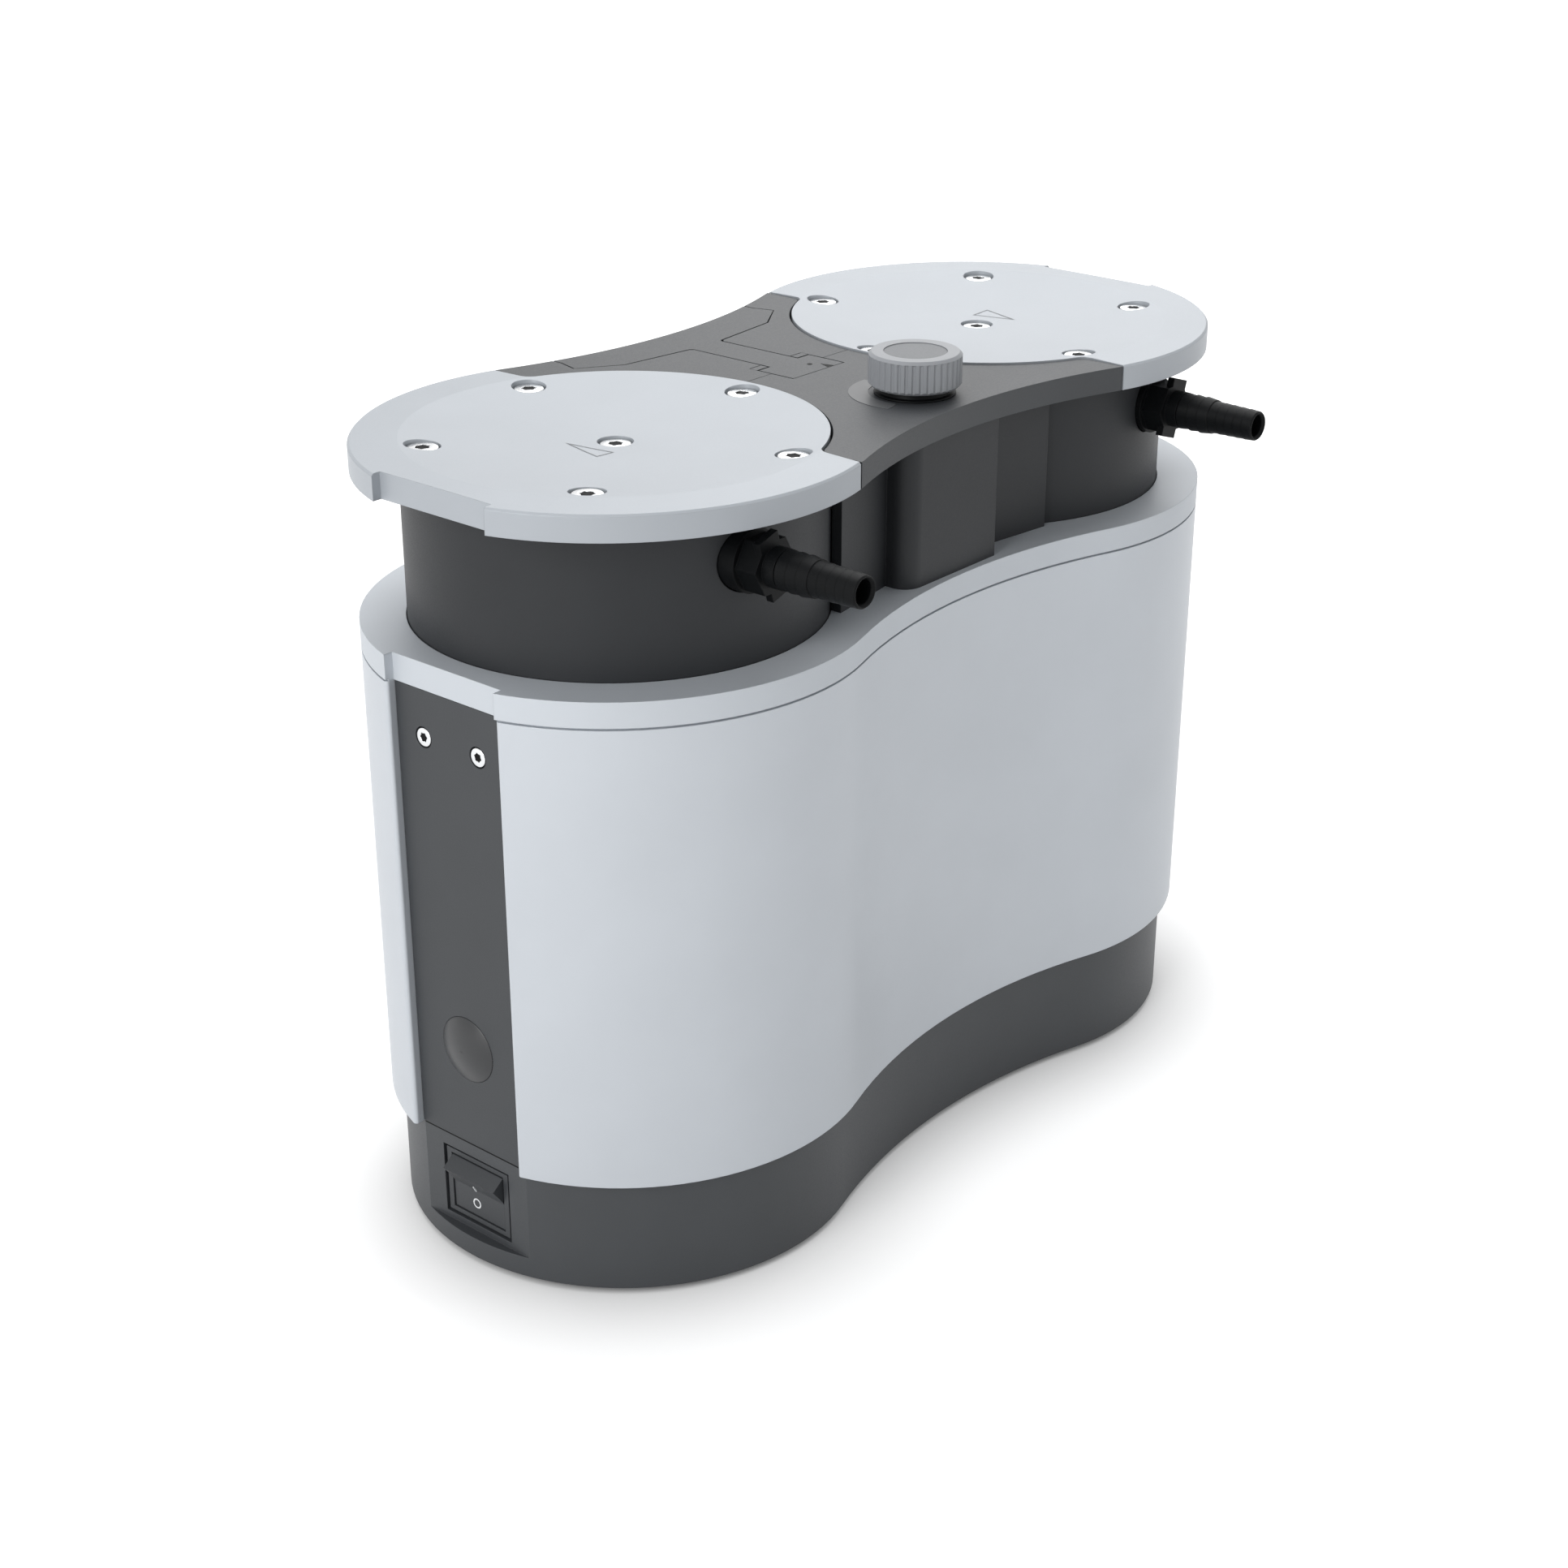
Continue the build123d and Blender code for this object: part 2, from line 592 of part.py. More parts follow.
def connecting_rod(lift):
    """Ring round the bearing, I-section beam and the dished disc under the diaphragm."""
    axis_z = SHAFT_HEIGHT + lift
    top = FLANGE_TOP + lift
    ring_r = ROD_BEARING_RADIUS + ROD_RING
    half = ROD_WIDTH / 2
    body = rod_x(ring_r, -half, half, 0, axis_z)
    disc_low = top - SUPPORT_THICKNESS
    beam_low = axis_z + ROD_BEARING_RADIUS + 2
    beam_half = 9.0
    beam_points = [
        (-beam_half - 3, beam_low), (beam_half + 3, beam_low),
        (beam_half, disc_low), (-beam_half, disc_low),
    ]
    beam = extrude(Plane.YZ * outline(beam_points), amount=half - 0.5, both=True)
    web = 2.0
    pocket_low = beam_low + 8
    pocket_high = disc_low - 14
    flange = 3.0
    pocket_points = [
        (-beam_half - 1 + flange, pocket_low), (beam_half + 1 - flange, pocket_low),
        (beam_half - flange, pocket_high), (-beam_half + flange, pocket_high),
    ]
    pocket = extrude(Plane.YZ * outline(pocket_points), amount=ROD_WIDTH)
    beam -= Pos(web, 0, 0) * pocket
    beam -= Pos(-web - ROD_WIDTH, 0, 0) * pocket
    body += beam
    body += turned([
        (0, disc_low - 10), (10, disc_low - 10), (14, disc_low), (SUPPORT_RADIUS - 4, disc_low),
        (SUPPORT_RADIUS, disc_low + 1), (SUPPORT_RADIUS, top), (0, top),
    ])
    body -= rod_x(ROD_BEARING_RADIUS, -half, half, 0, axis_z)
    body -= rod_z(STUD_RADIUS, top + DIAPHRAGM_SHEET - STUD_LENGTH, top)
    return body


def rod_bearing(lift):
    axis_z = SHAFT_HEIGHT + lift
    half = ROD_WIDTH / 2 - 0.5
    ring = rod_x(ROD_BEARING_RADIUS, -half, half, 0, axis_z)
    return ring - rod_x(JOURNAL_RADIUS + RUNNING, -half, half, 0, axis_z)


def eccentric(lift):
    """Offset journal with its counterweight, pressed on the shaft."""
    half = JOURNAL_WIDTH / 2
    side = math.copysign(1, lift)
    body = rod_x(JOURNAL_RADIUS, -half, half, 0, SHAFT_HEIGHT + lift)
    hub_end = half + 1.5 + COUNTERWEIGHT_WIDTH
    body += rod_x(SHAFT_RADIUS + 2.6, half, hub_end, 0, SHAFT_HEIGHT)
    weight = rod_x(COUNTERWEIGHT_RADIUS, half + 1.5, hub_end, 0, SHAFT_HEIGHT)
    away = SHAFT_HEIGHT - side * 2
    low, high = sorted((away, away - side * COUNTERWEIGHT_RADIUS))
    body += weight & block(half, hub_end, -COUNTERWEIGHT_RADIUS, COUNTERWEIGHT_RADIUS, low, high)
    return body - rod_x(SHAFT_RADIUS, -half - 1, hub_end + 1, 0, SHAFT_HEIGHT)


def crankcase():
    """Cast housing that carries a pump head and one end of the motor."""
    shoulder = HOUSING_BOTTOM - SHOULDER_HEIGHT
    beyond = CRANKCASE_RADIUS + 1
    body = rod_z(CRANKCASE_RADIUS, CRANKCASE_BOTTOM, shoulder)
    body &= block(-beyond, CRANKCASE_FLAT, -beyond, beyond, CRANKCASE_BOTTOM, shoulder)
    body += rod_z(HEAD_RADIUS, shoulder, HOUSING_BOTTOM)
    body += rod_z(FLANGE_RADIUS, HOUSING_BOTTOM, FLANGE_TOP)
    bore = CRANKCASE_RADIUS - CRANKCASE_WALL
    wall = CRANKCASE_FLAT - CRANKCASE_WALL - 1
    well = rod_z(bore, CRANKCASE_BOTTOM + CRANKCASE_WALL, shoulder)
    body -= well & block(-beyond, wall, -beyond, beyond, 0, shoulder)
    body -= rod_z(FLEX_RADIUS - 2, shoulder + CRANKCASE_WALL, FLANGE_TOP)
    body -= rod_z(FLEX_RADIUS - 2, shoulder - 1, FLANGE_TOP) & block(
        -beyond, wall, -beyond, beyond, 0, FLANGE_TOP
    )
    body -= rod_z(FLEX_RADIUS + 0.5, FLANGE_TOP - 6, FLANGE_TOP)
    # bearing seat in the flat wall
    body += rod_x(BEARING_RADIUS + 5, wall - 5, wall, 0, SHAFT_HEIGHT)
    body -= rod_x(BEARING_RADIUS, CRANKCASE_FLAT - BEARING_WIDTH, CRANKCASE_FLAT, 0, SHAFT_HEIGHT)
    body -= rod_x(SHAFT_RADIUS + 1, wall - 6, CRANKCASE_FLAT, 0, SHAFT_HEIGHT)
    # posts for the end strip
    strip_back = STRIP_DEPTH - STRIP_THICKNESS
    for y, z in strip_screw_points():
        body += rod_x(4.5, -strip_back, -bore - 1, y, z)
        body -= rod_x(STRIP_SHANK_RADIUS, -strip_back, -strip_back + 8, y, z)
    return through_screws(body, LONG_SHANK_END, FLANGE_TOP, SCREW_SHANK_RADIUS)


# ---- top plate ----------------------------------------------------------------------------
def dish_height(radius):
    """Height of the dished surface at a distance from the head axis."""
    ball = (DISH_RADIUS**2 + DISH_DEPTH**2) / (2 * DISH_DEPTH)
    sag = ball - math.sqrt(ball**2 - radius**2)
    return Z_RIM + RIDGE_RISE - DISH_DEPTH + sag


def top_plate():
    edge = 0.6
    dish = ThreePointArc(
        (0, 0, dish_height(0)),
        (DISH_RADIUS / 2, 0, dish_height(DISH_RADIUS / 2)),
        (DISH_RADIUS, 0, dish_height(DISH_RADIUS)),
    )
    rest = Polyline(
        (DISH_RADIUS, 0, Z_RIM + RIDGE_RISE), (SHELL_RADIUS - edge, 0, Z_RIM),
        (SHELL_RADIUS, 0, Z_RIM - edge), (SHELL_RADIUS, 0, Z_PLATE), (0, 0, Z_PLATE),
        (0, 0, dish_height(0)),
    )
    disc = revolve(make_face([dish, *rest.edges()]), axis=Axis.Z)
    top = Z_RIM + 1
    reach = SHELL_RADIUS + 1
    plan = rod_z(reach, Z_PLATE, top) & block(-reach, SHOULDER_OFFSET, -reach, reach, Z_PLATE, top)
    plan += rod_z(PLATE_INNER_RADIUS, Z_PLATE, top)
    corners = [
        e for e in plan.edges().filter_by(Axis.Z)
        if abs(e.center().X - SHOULDER_OFFSET) < 0.01 and abs(e.center().Y) < PLATE_INNER_RADIUS
    ]
    plate = disc & fillet(corners, PLATE_CORNER)
    plate -= block(-reach, -STRIP_DEPTH - 0.3, -STRIP_HALF, STRIP_HALF, Z_PLATE, top)
    for x, y in screw_points() + [(0, 0)]:
        floor = dish_height(math.hypot(x, y)) - POCKET_DEPTH
        plate -= rod_z(SCREW_HEAD_RADIUS + POCKET_CLEARANCE, floor, top, x, y)
        plate -= rod_z(SCREW_SHANK_RADIUS + 0.2, Z_PLATE, top, x, y)
    return plate


def plate_screws():
    screws = []
    for x, y in screw_points():
        seat = dish_height(math.hypot(x, y)) - POCKET_DEPTH
        length = seat - LONG_SHANK_END - 1
        screws.append(
            Pos(x, y, seat) * screw(SCREW_HEAD_RADIUS, SCREW_HEAD_HEIGHT, SCREW_SHANK_RADIUS, length)
        )
    seat = dish_height(0) - POCKET_DEPTH
    short = screw(SCREW_HEAD_RADIUS, SCREW_HEAD_HEIGHT, SCREW_SHANK_RADIUS, seat - Z_PLATE + 8)
    screws.append(Pos(0, 0, seat) * short)
    return group(screws)


# ---- hose connector -----------------------------------------------------------------------
def hose_connector():
    """Barbed connector: collar, hexagon, neck and two rows of barbs, along -Y."""
    seat = math.sqrt(HEAD_RADIUS**2 - CONNECTOR_OFFSET**2)
    inside = PORT_FACE + SEAL_THICKNESS
    collar_end = seat + COLLAR_LENGTH
    hex_end = collar_end + HEX_LENGTH
    profile = [(BORE_RADIUS, inside - 12), (PORT_RADIUS + 1 - RUNNING, inside - 12)]
    profile += [(PORT_RADIUS + 1 - RUNNING, inside), (COLLAR_RADIUS, inside), (COLLAR_RADIUS, collar_end)]
    along = hex_end + NECK_LENGTH
    groove = 0.3
    profile += [(NECK_RADIUS, collar_end), (NECK_RADIUS, along - groove)]
    profile += [(NECK_RADIUS - BARB_DEPTH, along - groove), (NECK_RADIUS - BARB_DEPTH, along)]
    for land in range(LARGE_LANDS + SMALL_LANDS):
        large = land < LARGE_LANDS
        crest = NECK_RADIUS if large else NECK_RADIUS - BARB_STEP - 0.06 * (land - LARGE_LANDS)
        low = crest - BARB_DEPTH * (1.0 if large else 0.5)
        profile += [(crest, along), (low, along + (LARGE_PITCH if large else SMALL_PITCH))]
        along = profile[-1][1]
    mouth = BORE_RADIUS + 0.6
    profile += [(mouth + 0.2, along + 0.4), (mouth, along + 0.4), (BORE_RADIUS, along - 0.4)]
    body = turned(profile)
    hexagon = extrude(RegularPolygon(HEX_ACROSS / 2, 6, major_radius=False), amount=HEX_LENGTH)
    body += Pos(0, 0, collar_end) * (hexagon - rod_z(NECK_RADIUS - 0.5, 0, HEX_LENGTH))
    tab = HEX_ACROSS / 2 + 1.9
    plate = block(-3.6, 3.6, -tab, tab, hex_end - 2.2, hex_end) - rod_z(NECK_RADIUS - 0.5, 0, hex_end)
    body += Rot(0, 0, TAB_TURN) * plate
    return Pos(-CONNECTOR_OFFSET, 0, Z_CONNECTOR) * Rot(90, 0, 0) * body


def connector_seals():
    """Seal ring between each connector and its manifold."""
    outside = PORT_FACE + SEAL_THICKNESS
    ring = rod_y(COLLAR_RADIUS - 1, -outside, -PORT_FACE, -CONNECTOR_OFFSET, Z_CONNECTOR)
    ring -= rod_y(PORT_RADIUS + 1, -outside, -PORT_FACE, -CONNECTOR_OFFSET, Z_CONNECTOR)
    return group([at_front(ring), at_rear(ring)])


# ---- middle: block, valve, tube, cover ----------------------------------------------------
Z_HINGE = Z_COVER - HANDLE_HINGE_DROP
HEAD_END = 9.0            # handle skin behind the hinge, as a radius about it
EAR_RADIUS = 3.0          # cover ears that hold the handle pin
EAR_WIDTH = 4.0
HANDLE_NECK_Y = 9.5
GRIP_EDGE_Y = 40.0
GRIP_TIP_Y = 51.0
STEM_THICKNESS = 4.5
TRAY_SKIN = 1.5
TRAY_TOP = Z_COVER - STEM_THICKNESS - SHADOW
BLOCK_WALL = 2.5
BLOCK_TOP = Z_PLATE - 0.1
FACE_HALF = 47.2
FACE_Y = 50.6
SETBACK_HALF = 17.0
SETBACK_Y = 46.6
NOSE_Y = 54.5
NOSE_ROUND = 6.0


def block_outline(grow):
    """Plan of the middle block: flat side faces and a nose on the connector side."""
    side = FACE_HALF + grow
    points = [
        (-side, FACE_Y + grow), (-SETBACK_HALF, SETBACK_Y + grow), (SETBACK_HALF, SETBACK_Y + grow),
        (side, FACE_Y + grow), (side, -FACE_Y - grow), (SETBACK_HALF + grow, -SETBACK_Y - grow),
        (SETBACK_HALF + grow, -NOSE_Y - grow), (-SETBACK_HALF - NOSE_ROUND - grow, -NOSE_Y - grow),
        (-SETBACK_HALF - NOSE_ROUND - grow, -SETBACK_Y - grow), (-side, -FACE_Y - grow),
    ]
    return outline(points)


def centre_housing():
    """Open box between the heads, over the valve and the transfer tube."""
    body = rise(block_outline(0), Z_LID, BLOCK_TOP)
    nose = [
        e for e in body.edges().filter_by(Axis.Z)
        if abs(e.center().Y + NOSE_Y) < 0.01 and e.center().X < 0
    ]
    body = fillet(nose, NOSE_ROUND - 0.5)
    inside = rise(block_outline(-BLOCK_WALL), Z_LID + BLOCK_WALL, BLOCK_TOP)
    for side in (-1, 1):
        around = rod_z(HEAD_RADIUS + FREE, Z_LID, BLOCK_TOP, side * HEAD_OFFSET)
        inside -= rod_z(HEAD_RADIUS + FREE + BLOCK_WALL, Z_LID, BLOCK_TOP, side * HEAD_OFFSET)
        body -= around
    body -= inside
    # finger recess under the grip of the handle
    fingers = SETBACK_HALF + 14
    reach = SETBACK_Y - 16
    recess = block(-fingers, fingers, reach, NOSE_Y + 5, Z_COVER - FINGER_DROP, BLOCK_TOP)
    shelf = block(
        -fingers - BLOCK_WALL, fingers + BLOCK_WALL, reach - BLOCK_WALL, SETBACK_Y,
        Z_COVER - FINGER_DROP - BLOCK_WALL, min(TRAY_TOP - TRAY_SKIN - FREE, BLOCK_TOP),
    )
    for side in (-1, 1):
        shelf -= rod_z(HEAD_RADIUS + FREE, Z_LID, BLOCK_TOP, side * HEAD_OFFSET)
    body = body + shelf - recess
    wide = HANDLE_HALF + 1.5
    grip_low = Z_COVER - HANDLE_GRIP_DEPTH - 1
    body -= block(-wide, wide, GRIP_EDGE_Y - 1.5, NOSE_Y + 5, grip_low, BLOCK_TOP)
    return body - rod_x(TUBE_RADIUS + FREE, -HEAD_OFFSET, HEAD_OFFSET, KNOB_Y, Z_CONNECTOR)


def transfer_tube():
    """Gas tubes from each manifold to the regulating valve."""
    start = -HEAD_OFFSET + TUBE_FACE
    tube = rod_x(TUBE_RADIUS, start, -VALVE_BODY_RADIUS, KNOB_Y, Z_CONNECTOR)
    tube += rod_x(PORT_RADIUS - RUNNING, start - 6, start, KNOB_Y, Z_CONNECTOR)
    tube -= rod_x(PORT_RADIUS - 1.5, -HEAD_OFFSET, 0, KNOB_Y, Z_CONNECTOR)
    return group([tube, mirror(tube, about=Plane.YZ)])


STEM_BOTTOM = Z_CONNECTOR - 3


def valve_body():
    body = rod_z(VALVE_BODY_RADIUS, Z_LID + BLOCK_WALL, Z_COVER - COVER_SKIN - FREE, 0, KNOB_Y)
    body += rod_x(TUBE_RADIUS + 2, -VALVE_BODY_RADIUS, VALVE_BODY_RADIUS, KNOB_Y, Z_CONNECTOR)
    body -= rod_x(PORT_RADIUS - 1.5, -VALVE_BODY_RADIUS, VALVE_BODY_RADIUS, KNOB_Y, Z_CONNECTOR)
    body -= rod_z(STEM_RADIUS + RUNNING, STEM_BOTTOM - 0.5, Z_COVER, 0, KNOB_Y)
    return body


def cover_region(grow):
    """Plan of the bridge cover: the outline between the two top plates."""
    region = rise(peanut(SHELL_RADIUS + grow, TOP_WAIST + grow), Z_PLATE, Z_COVER)
    length = HEAD_OFFSET - SHOULDER_OFFSET - PLATE_GAP + grow
    region &= block(-length, length, -SHELL_RADIUS, SHELL_RADIUS, Z_PLATE, Z_COVER)
    for side in (-1, 1):
        region -= rod_z(PLATE_INNER_RADIUS + PLATE_GAP - grow, Z_PLATE, Z_COVER, side * HEAD_OFFSET)
    corners = [
        e for e in region.edges().filter_by(Axis.Z)
        if abs(abs(e.center().X) - length) < 0.01 and abs(e.center().Y) < PLATE_INNER_RADIUS
    ]
    return fillet(corners, PLATE_CORNER - PLATE_GAP + min(grow, 0))


def handle_plan(grow):
    """Plan of the T-shaped handle: grip along the waist, stem, hinge head."""
    tip = HANDLE_HALF + grow
    side = HANDLE_STEM_HALF + grow
    head = HANDLE_HEAD_HALF + grow
    edge = GRIP_EDGE_Y - grow
    bend = HANDLE_HALF * 0.72
    points = [
        (tip - 2, TOP_WAIST + 15), (tip - 2, GRIP_TIP_Y + 7), (tip, GRIP_TIP_Y), (bend, edge + 3),
        (side + 1, edge), (side, edge - 1), (side, HANDLE_NECK_Y + grow), (head, HANDLE_NECK_Y + grow),
        (head, HANDLE_HINGE_Y - HEAD_END - 3),
    ]
    return outline(points + [(-x, y) for x, y in reversed(points)])


def cover_half(side):
    """The bridge cover is split across its middle; side +1 carries the handle."""
    body = cover_region(0)
    hollow = cover_region(-COVER_SKIN)
    body -= Pos(0, 0, -COVER_SKIN) * hollow
    split = HANDLE_HINGE_Y
    far = SHELL_RADIUS + 5
    low, high = sorted((split + side * 0.1, side * far))
    long = HEAD_OFFSET
    body &= block(-long, long, low, high, Z_PLATE, Z_COVER)
    # shelf under the handle, then the handle's own space
    z0 = Z_PLATE - HANDLE_GRIP_DEPTH
    cut = rise(handle_plan(SHADOW), z0, Z_COVER + 1)
    end = HANDLE_HINGE_Y - HEAD_END - FREE
    flat = block(-long, long, end + 3, far, z0, Z_COVER + 1)
    head_gap = HANDLE_HEAD_HALF + SHADOW
    sweep = rod_x(HEAD_END + FREE, -head_gap, head_gap, HANDLE_HINGE_Y, Z_HINGE)
    body -= cut & flat
    body -= sweep
    if side > 0:
        inner = HANDLE_STEM_HALF + SHADOW
        outer = inner + COVER_SKIN
        y0 = HANDLE_HINGE_Y + 12
        y1 = GRIP_EDGE_Y - 3
        channel = block(-outer, outer, y0, y1, TRAY_TOP - TRAY_SKIN, Z_COVER)
        body += channel - block(-inner, inner, y0, y1, TRAY_TOP, Z_COVER)
        ear_top = Z_COVER - COVER_SKIN
        for end_side in (-1, 1):
            x0, x1 = sorted((end_side * head_gap, end_side * (head_gap + EAR_WIDTH)))
            ear_y = HANDLE_HINGE_Y + 0.1
            ear = block(x0, x1, ear_y, ear_y + EAR_WIDTH, Z_HINGE - EAR_RADIUS, ear_top)
            ear += rod_x(EAR_RADIUS, x0, x1, HANDLE_HINGE_Y, Z_HINGE)
            body += ear
        body -= rod_x(HANDLE_PIN_RADIUS, -long, long, HANDLE_HINGE_Y, Z_HINGE)
    else:
        ear_half = head_gap + EAR_WIDTH + FREE
        body -= rod_x(EAR_RADIUS + FREE, -ear_half, ear_half, HANDLE_HINGE_Y, Z_HINGE)
        body -= rod_z(STEM_RADIUS + FREE, Z_PLATE, Z_COVER, 0, KNOB_Y)
    return body


def carry_handle():
    """Fold-up handle: a hollow grip on a flat stem, hinged at the middle of the pump."""
    skin_low = Z_COVER - COVER_SKIN
    z0 = Z_COVER - HANDLE_GRIP_DEPTH
    plan = rise(handle_plan(0), z0, Z_COVER)
    waist = rise(peanut(SHELL_RADIUS, TOP_WAIST), z0, Z_COVER)
    body = plan & waist
    far = SHELL_RADIUS
    wide = HANDLE_HALF + 2
    # thin skin over the hinge, a ribbed stem, a deep grip
    body -= block(-wide, wide, -far, HANDLE_HINGE_Y + 12, z0, skin_low)
    body -= block(-wide, wide, HANDLE_HINGE_Y + 11, GRIP_EDGE_Y - 3, z0, Z_COVER - STEM_THICKNESS)
    end_round = rod_x(HEAD_END, -wide, wide, HANDLE_HINGE_Y, Z_HINGE)
    head_zone = block(-wide, wide, -far, HANDLE_HINGE_Y - 2, z0, Z_COVER)
    body -= head_zone - end_round
    barrel_half = HANDLE_STEM_HALF
    barrel = rod_x(HANDLE_BARREL_RADIUS, -barrel_half, barrel_half, HANDLE_HINGE_Y, Z_HINGE)
    link = block(
        -barrel_half, barrel_half, HANDLE_HINGE_Y - 2, HANDLE_HINGE_Y + 11.5, Z_HINGE - 0.5, Z_COVER - 1
    )
    body += (barrel + link) & block(-wide, wide, -far, far, z0, Z_COVER)
    return body - rod_x(HANDLE_PIN_RADIUS + RUNNING, -wide, wide, HANDLE_HINGE_Y, Z_HINGE)


def handle_pin():
    half = HANDLE_HEAD_HALF + SHADOW + EAR_WIDTH
    return rod_x(HANDLE_PIN_RADIUS, -half, half, HANDLE_HINGE_Y, Z_HINGE)


# ---- knob ---------------------------------------------------------------------------------
KNOB_BOTTOM = Z_COVER + KNOB_COLLAR_HEIGHT + FREE
KNOB_TOP = KNOB_BOTTOM + KNOB_HEIGHT


def knob():
    """Ribbed knob: flutes cut round a turned blank, with a recess for its cap."""
    blank = rod_z(KNOB_RADIUS, KNOB_BOTTOM, KNOB_TOP)
    blank = chamfer(blank.edges().filter_by(GeomType.CIRCLE), 0.8)
    pitch = 2 * math.pi / KNOB_RIBS
    flute_r = KNOB_RADIUS * pitch * 0.26
    for i in range(KNOB_RIBS):
        x = (KNOB_RADIUS + flute_r * 0.35) * math.cos(i * pitch)
        y = (KNOB_RADIUS + flute_r * 0.35) * math.sin(i * pitch)
        blank -= rod_z(flute_r, KNOB_BOTTOM, KNOB_TOP - 0.9, x, y)
    blank -= rod_z(KNOB_CAP_RADIUS, KNOB_TOP - KNOB_CAP_THICKNESS - 0.2, KNOB_TOP)
    blank -= rod_z(STEM_RADIUS, KNOB_BOTTOM, KNOB_TOP - 4)
    return Pos(0, KNOB_Y, 0) * blank


def knob_cap():
    low = KNOB_TOP - KNOB_CAP_THICKNESS - 0.2
    cap = rod_z(KNOB_CAP_RADIUS - 0.05, low, low + KNOB_CAP_THICKNESS, 0, KNOB_Y)
    return cap


def knob_collar():
    ring = rod_z(KNOB_COLLAR_RADIUS, Z_COVER, Z_COVER + KNOB_COLLAR_HEIGHT, 0, KNOB_Y)
    return ring - rod_z(STEM_RADIUS + FREE, Z_COVER, Z_COVER + KNOB_COLLAR_HEIGHT, 0, KNOB_Y)


def valve_stem():
    return rod_z(STEM_RADIUS, STEM_BOTTOM, KNOB_TOP - 4, 0, KNOB_Y)


# ---- switch and inlet ---------------------------------------------------------------------
def rocker():
    """Rocker pressed at its lower end: a wedge above, a hollow curve down to a flush foot."""
    face = -ROCKER_PIVOT_DEPTH
    top = ROCKER_HALF - 0.3
    lip = (face - ROCKER_LIP, top - 2.85)
    foot = (face + 0.3, -0.2)
    back = 2.5
    curve = ThreePointArc(lip, (face - 1.35, 2.4), foot)
    rest = Polyline(
        foot, (face + 0.4, -ROCKER_HALF), (1.0, -ROCKER_HALF), (back, -ROCKER_HALF / 2),
        (back, ROCKER_HALF / 2), (1.0, top), (face + 0.1, top), lip,
    )
    profile = Plane.XZ * make_face([curve, *rest.edges()])
    half = ROCKER_WIDTH / 2
    body = extrude(profile, amount=half, both=True)
    body += rod_y(1.2, -half - ROCKER_PIN, half + ROCKER_PIN)
    x = -(HEAD_OFFSET + BASE_FLAT) + 0.4 + ROCKER_PIVOT_DEPTH
    return Pos(x, 0, SWITCH_HEIGHT) * body


def switch_body():
    front = -(HEAD_OFFSET + BASE_FLAT) + 0.4
    back = -(HEAD_OFFSET + PANEL_FACE)
    half_w = BEZEL_WIDTH / 2
    half_h = BEZEL_HEIGHT / 2
    body = block(front, back, -half_w, half_w, SWITCH_HEIGHT - half_h, SWITCH_HEIGHT + half_h)
    body += switch_cutout(back, back + SWITCH_BODY_DEPTH, 0.0)
    window_half = ROCKER_WIDTH / 2 + FREE
    tall = ROCKER_HALF + 0.25
    body -= block(
        front, front + 8, -window_half, window_half, SWITCH_HEIGHT - tall, SWITCH_HEIGHT + tall
    )
    pivot = front + ROCKER_PIVOT_DEPTH
    seat = ROCKER_WIDTH / 2 + ROCKER_PIN + RUNNING
    body -= rod_y(1.2 + RUNNING, -seat, seat, pivot, SWITCH_HEIGHT)
    for y in (-6.0, 6.0):
        end = back + SWITCH_BODY_DEPTH
        body += block(end, end + 8, y - 2.4, y + 2.4, SWITCH_HEIGHT - 0.4, SWITCH_HEIGHT + 0.4)
    return body


def inlet_prism(grow, x0, x1):
    """Three-pin inlet section: a rectangle with its two upper corners cut."""
    half_w = INLET_WIDTH / 2 + grow
    half_h = INLET_HEIGHT / 2 + grow
    cut = 5.0
    points = [
        (-half_w, -half_h), (half_w, -half_h), (half_w, half_h - cut), (half_w - cut, half_h),
        (-half_w + cut, half_h), (-half_w, half_h - cut),
    ]
    face = Plane.YZ * outline(points)
    return Pos(x0, 0, SWITCH_HEIGHT) * extrude(face, amount=x1 - x0)


def mains_inlet():
    face = HEAD_OFFSET + BASE_FLAT
    bottom = face + INLET_FLANGE - INLET_DEPTH
    body = inlet_prism(INLET_COLLAR, bottom - 4, face)
    half_w = INLET_WIDTH / 2 + 2.6
    half_h = INLET_HEIGHT / 2 + 2.6
    body += block(
        face, face + INLET_FLANGE, -half_w, half_w, SWITCH_HEIGHT - half_h, SWITCH_HEIGHT + half_h
    )
    return body - inlet_prism(0, bottom, face + INLET_FLANGE)


PIN_SPACING = 7.0
PIN_LENGTH = 12.5
PIN_WIDTH = 2.0
PIN_TALL = 4.0


def inlet_pins():
    bottom = HEAD_OFFSET + BASE_FLAT + INLET_FLANGE - INLET_DEPTH
    places = [(-PIN_SPACING, -1.0), (0.0, 3.0), (PIN_SPACING, -1.0)]
    pins = [
        block(
            bottom, bottom + PIN_LENGTH, y - PIN_WIDTH / 2, y + PIN_WIDTH / 2,
            SWITCH_HEIGHT + dz - PIN_TALL / 2, SWITCH_HEIGHT + dz + PIN_TALL / 2,
        )
        for y, dz in places
    ]
    return group(pins)


# ---- motor --------------------------------------------------------------------------------
MOTOR_HALF = HEAD_OFFSET - CRANKCASE_FLAT


def motor_housing():
    tube = rod_x(MOTOR_RADIUS, -MOTOR_HALF, MOTOR_HALF, 0, SHAFT_HEIGHT)
    return tube - rod_x(MOTOR_RADIUS - MOTOR_WALL, -MOTOR_HALF, MOTOR_HALF, 0, SHAFT_HEIGHT)


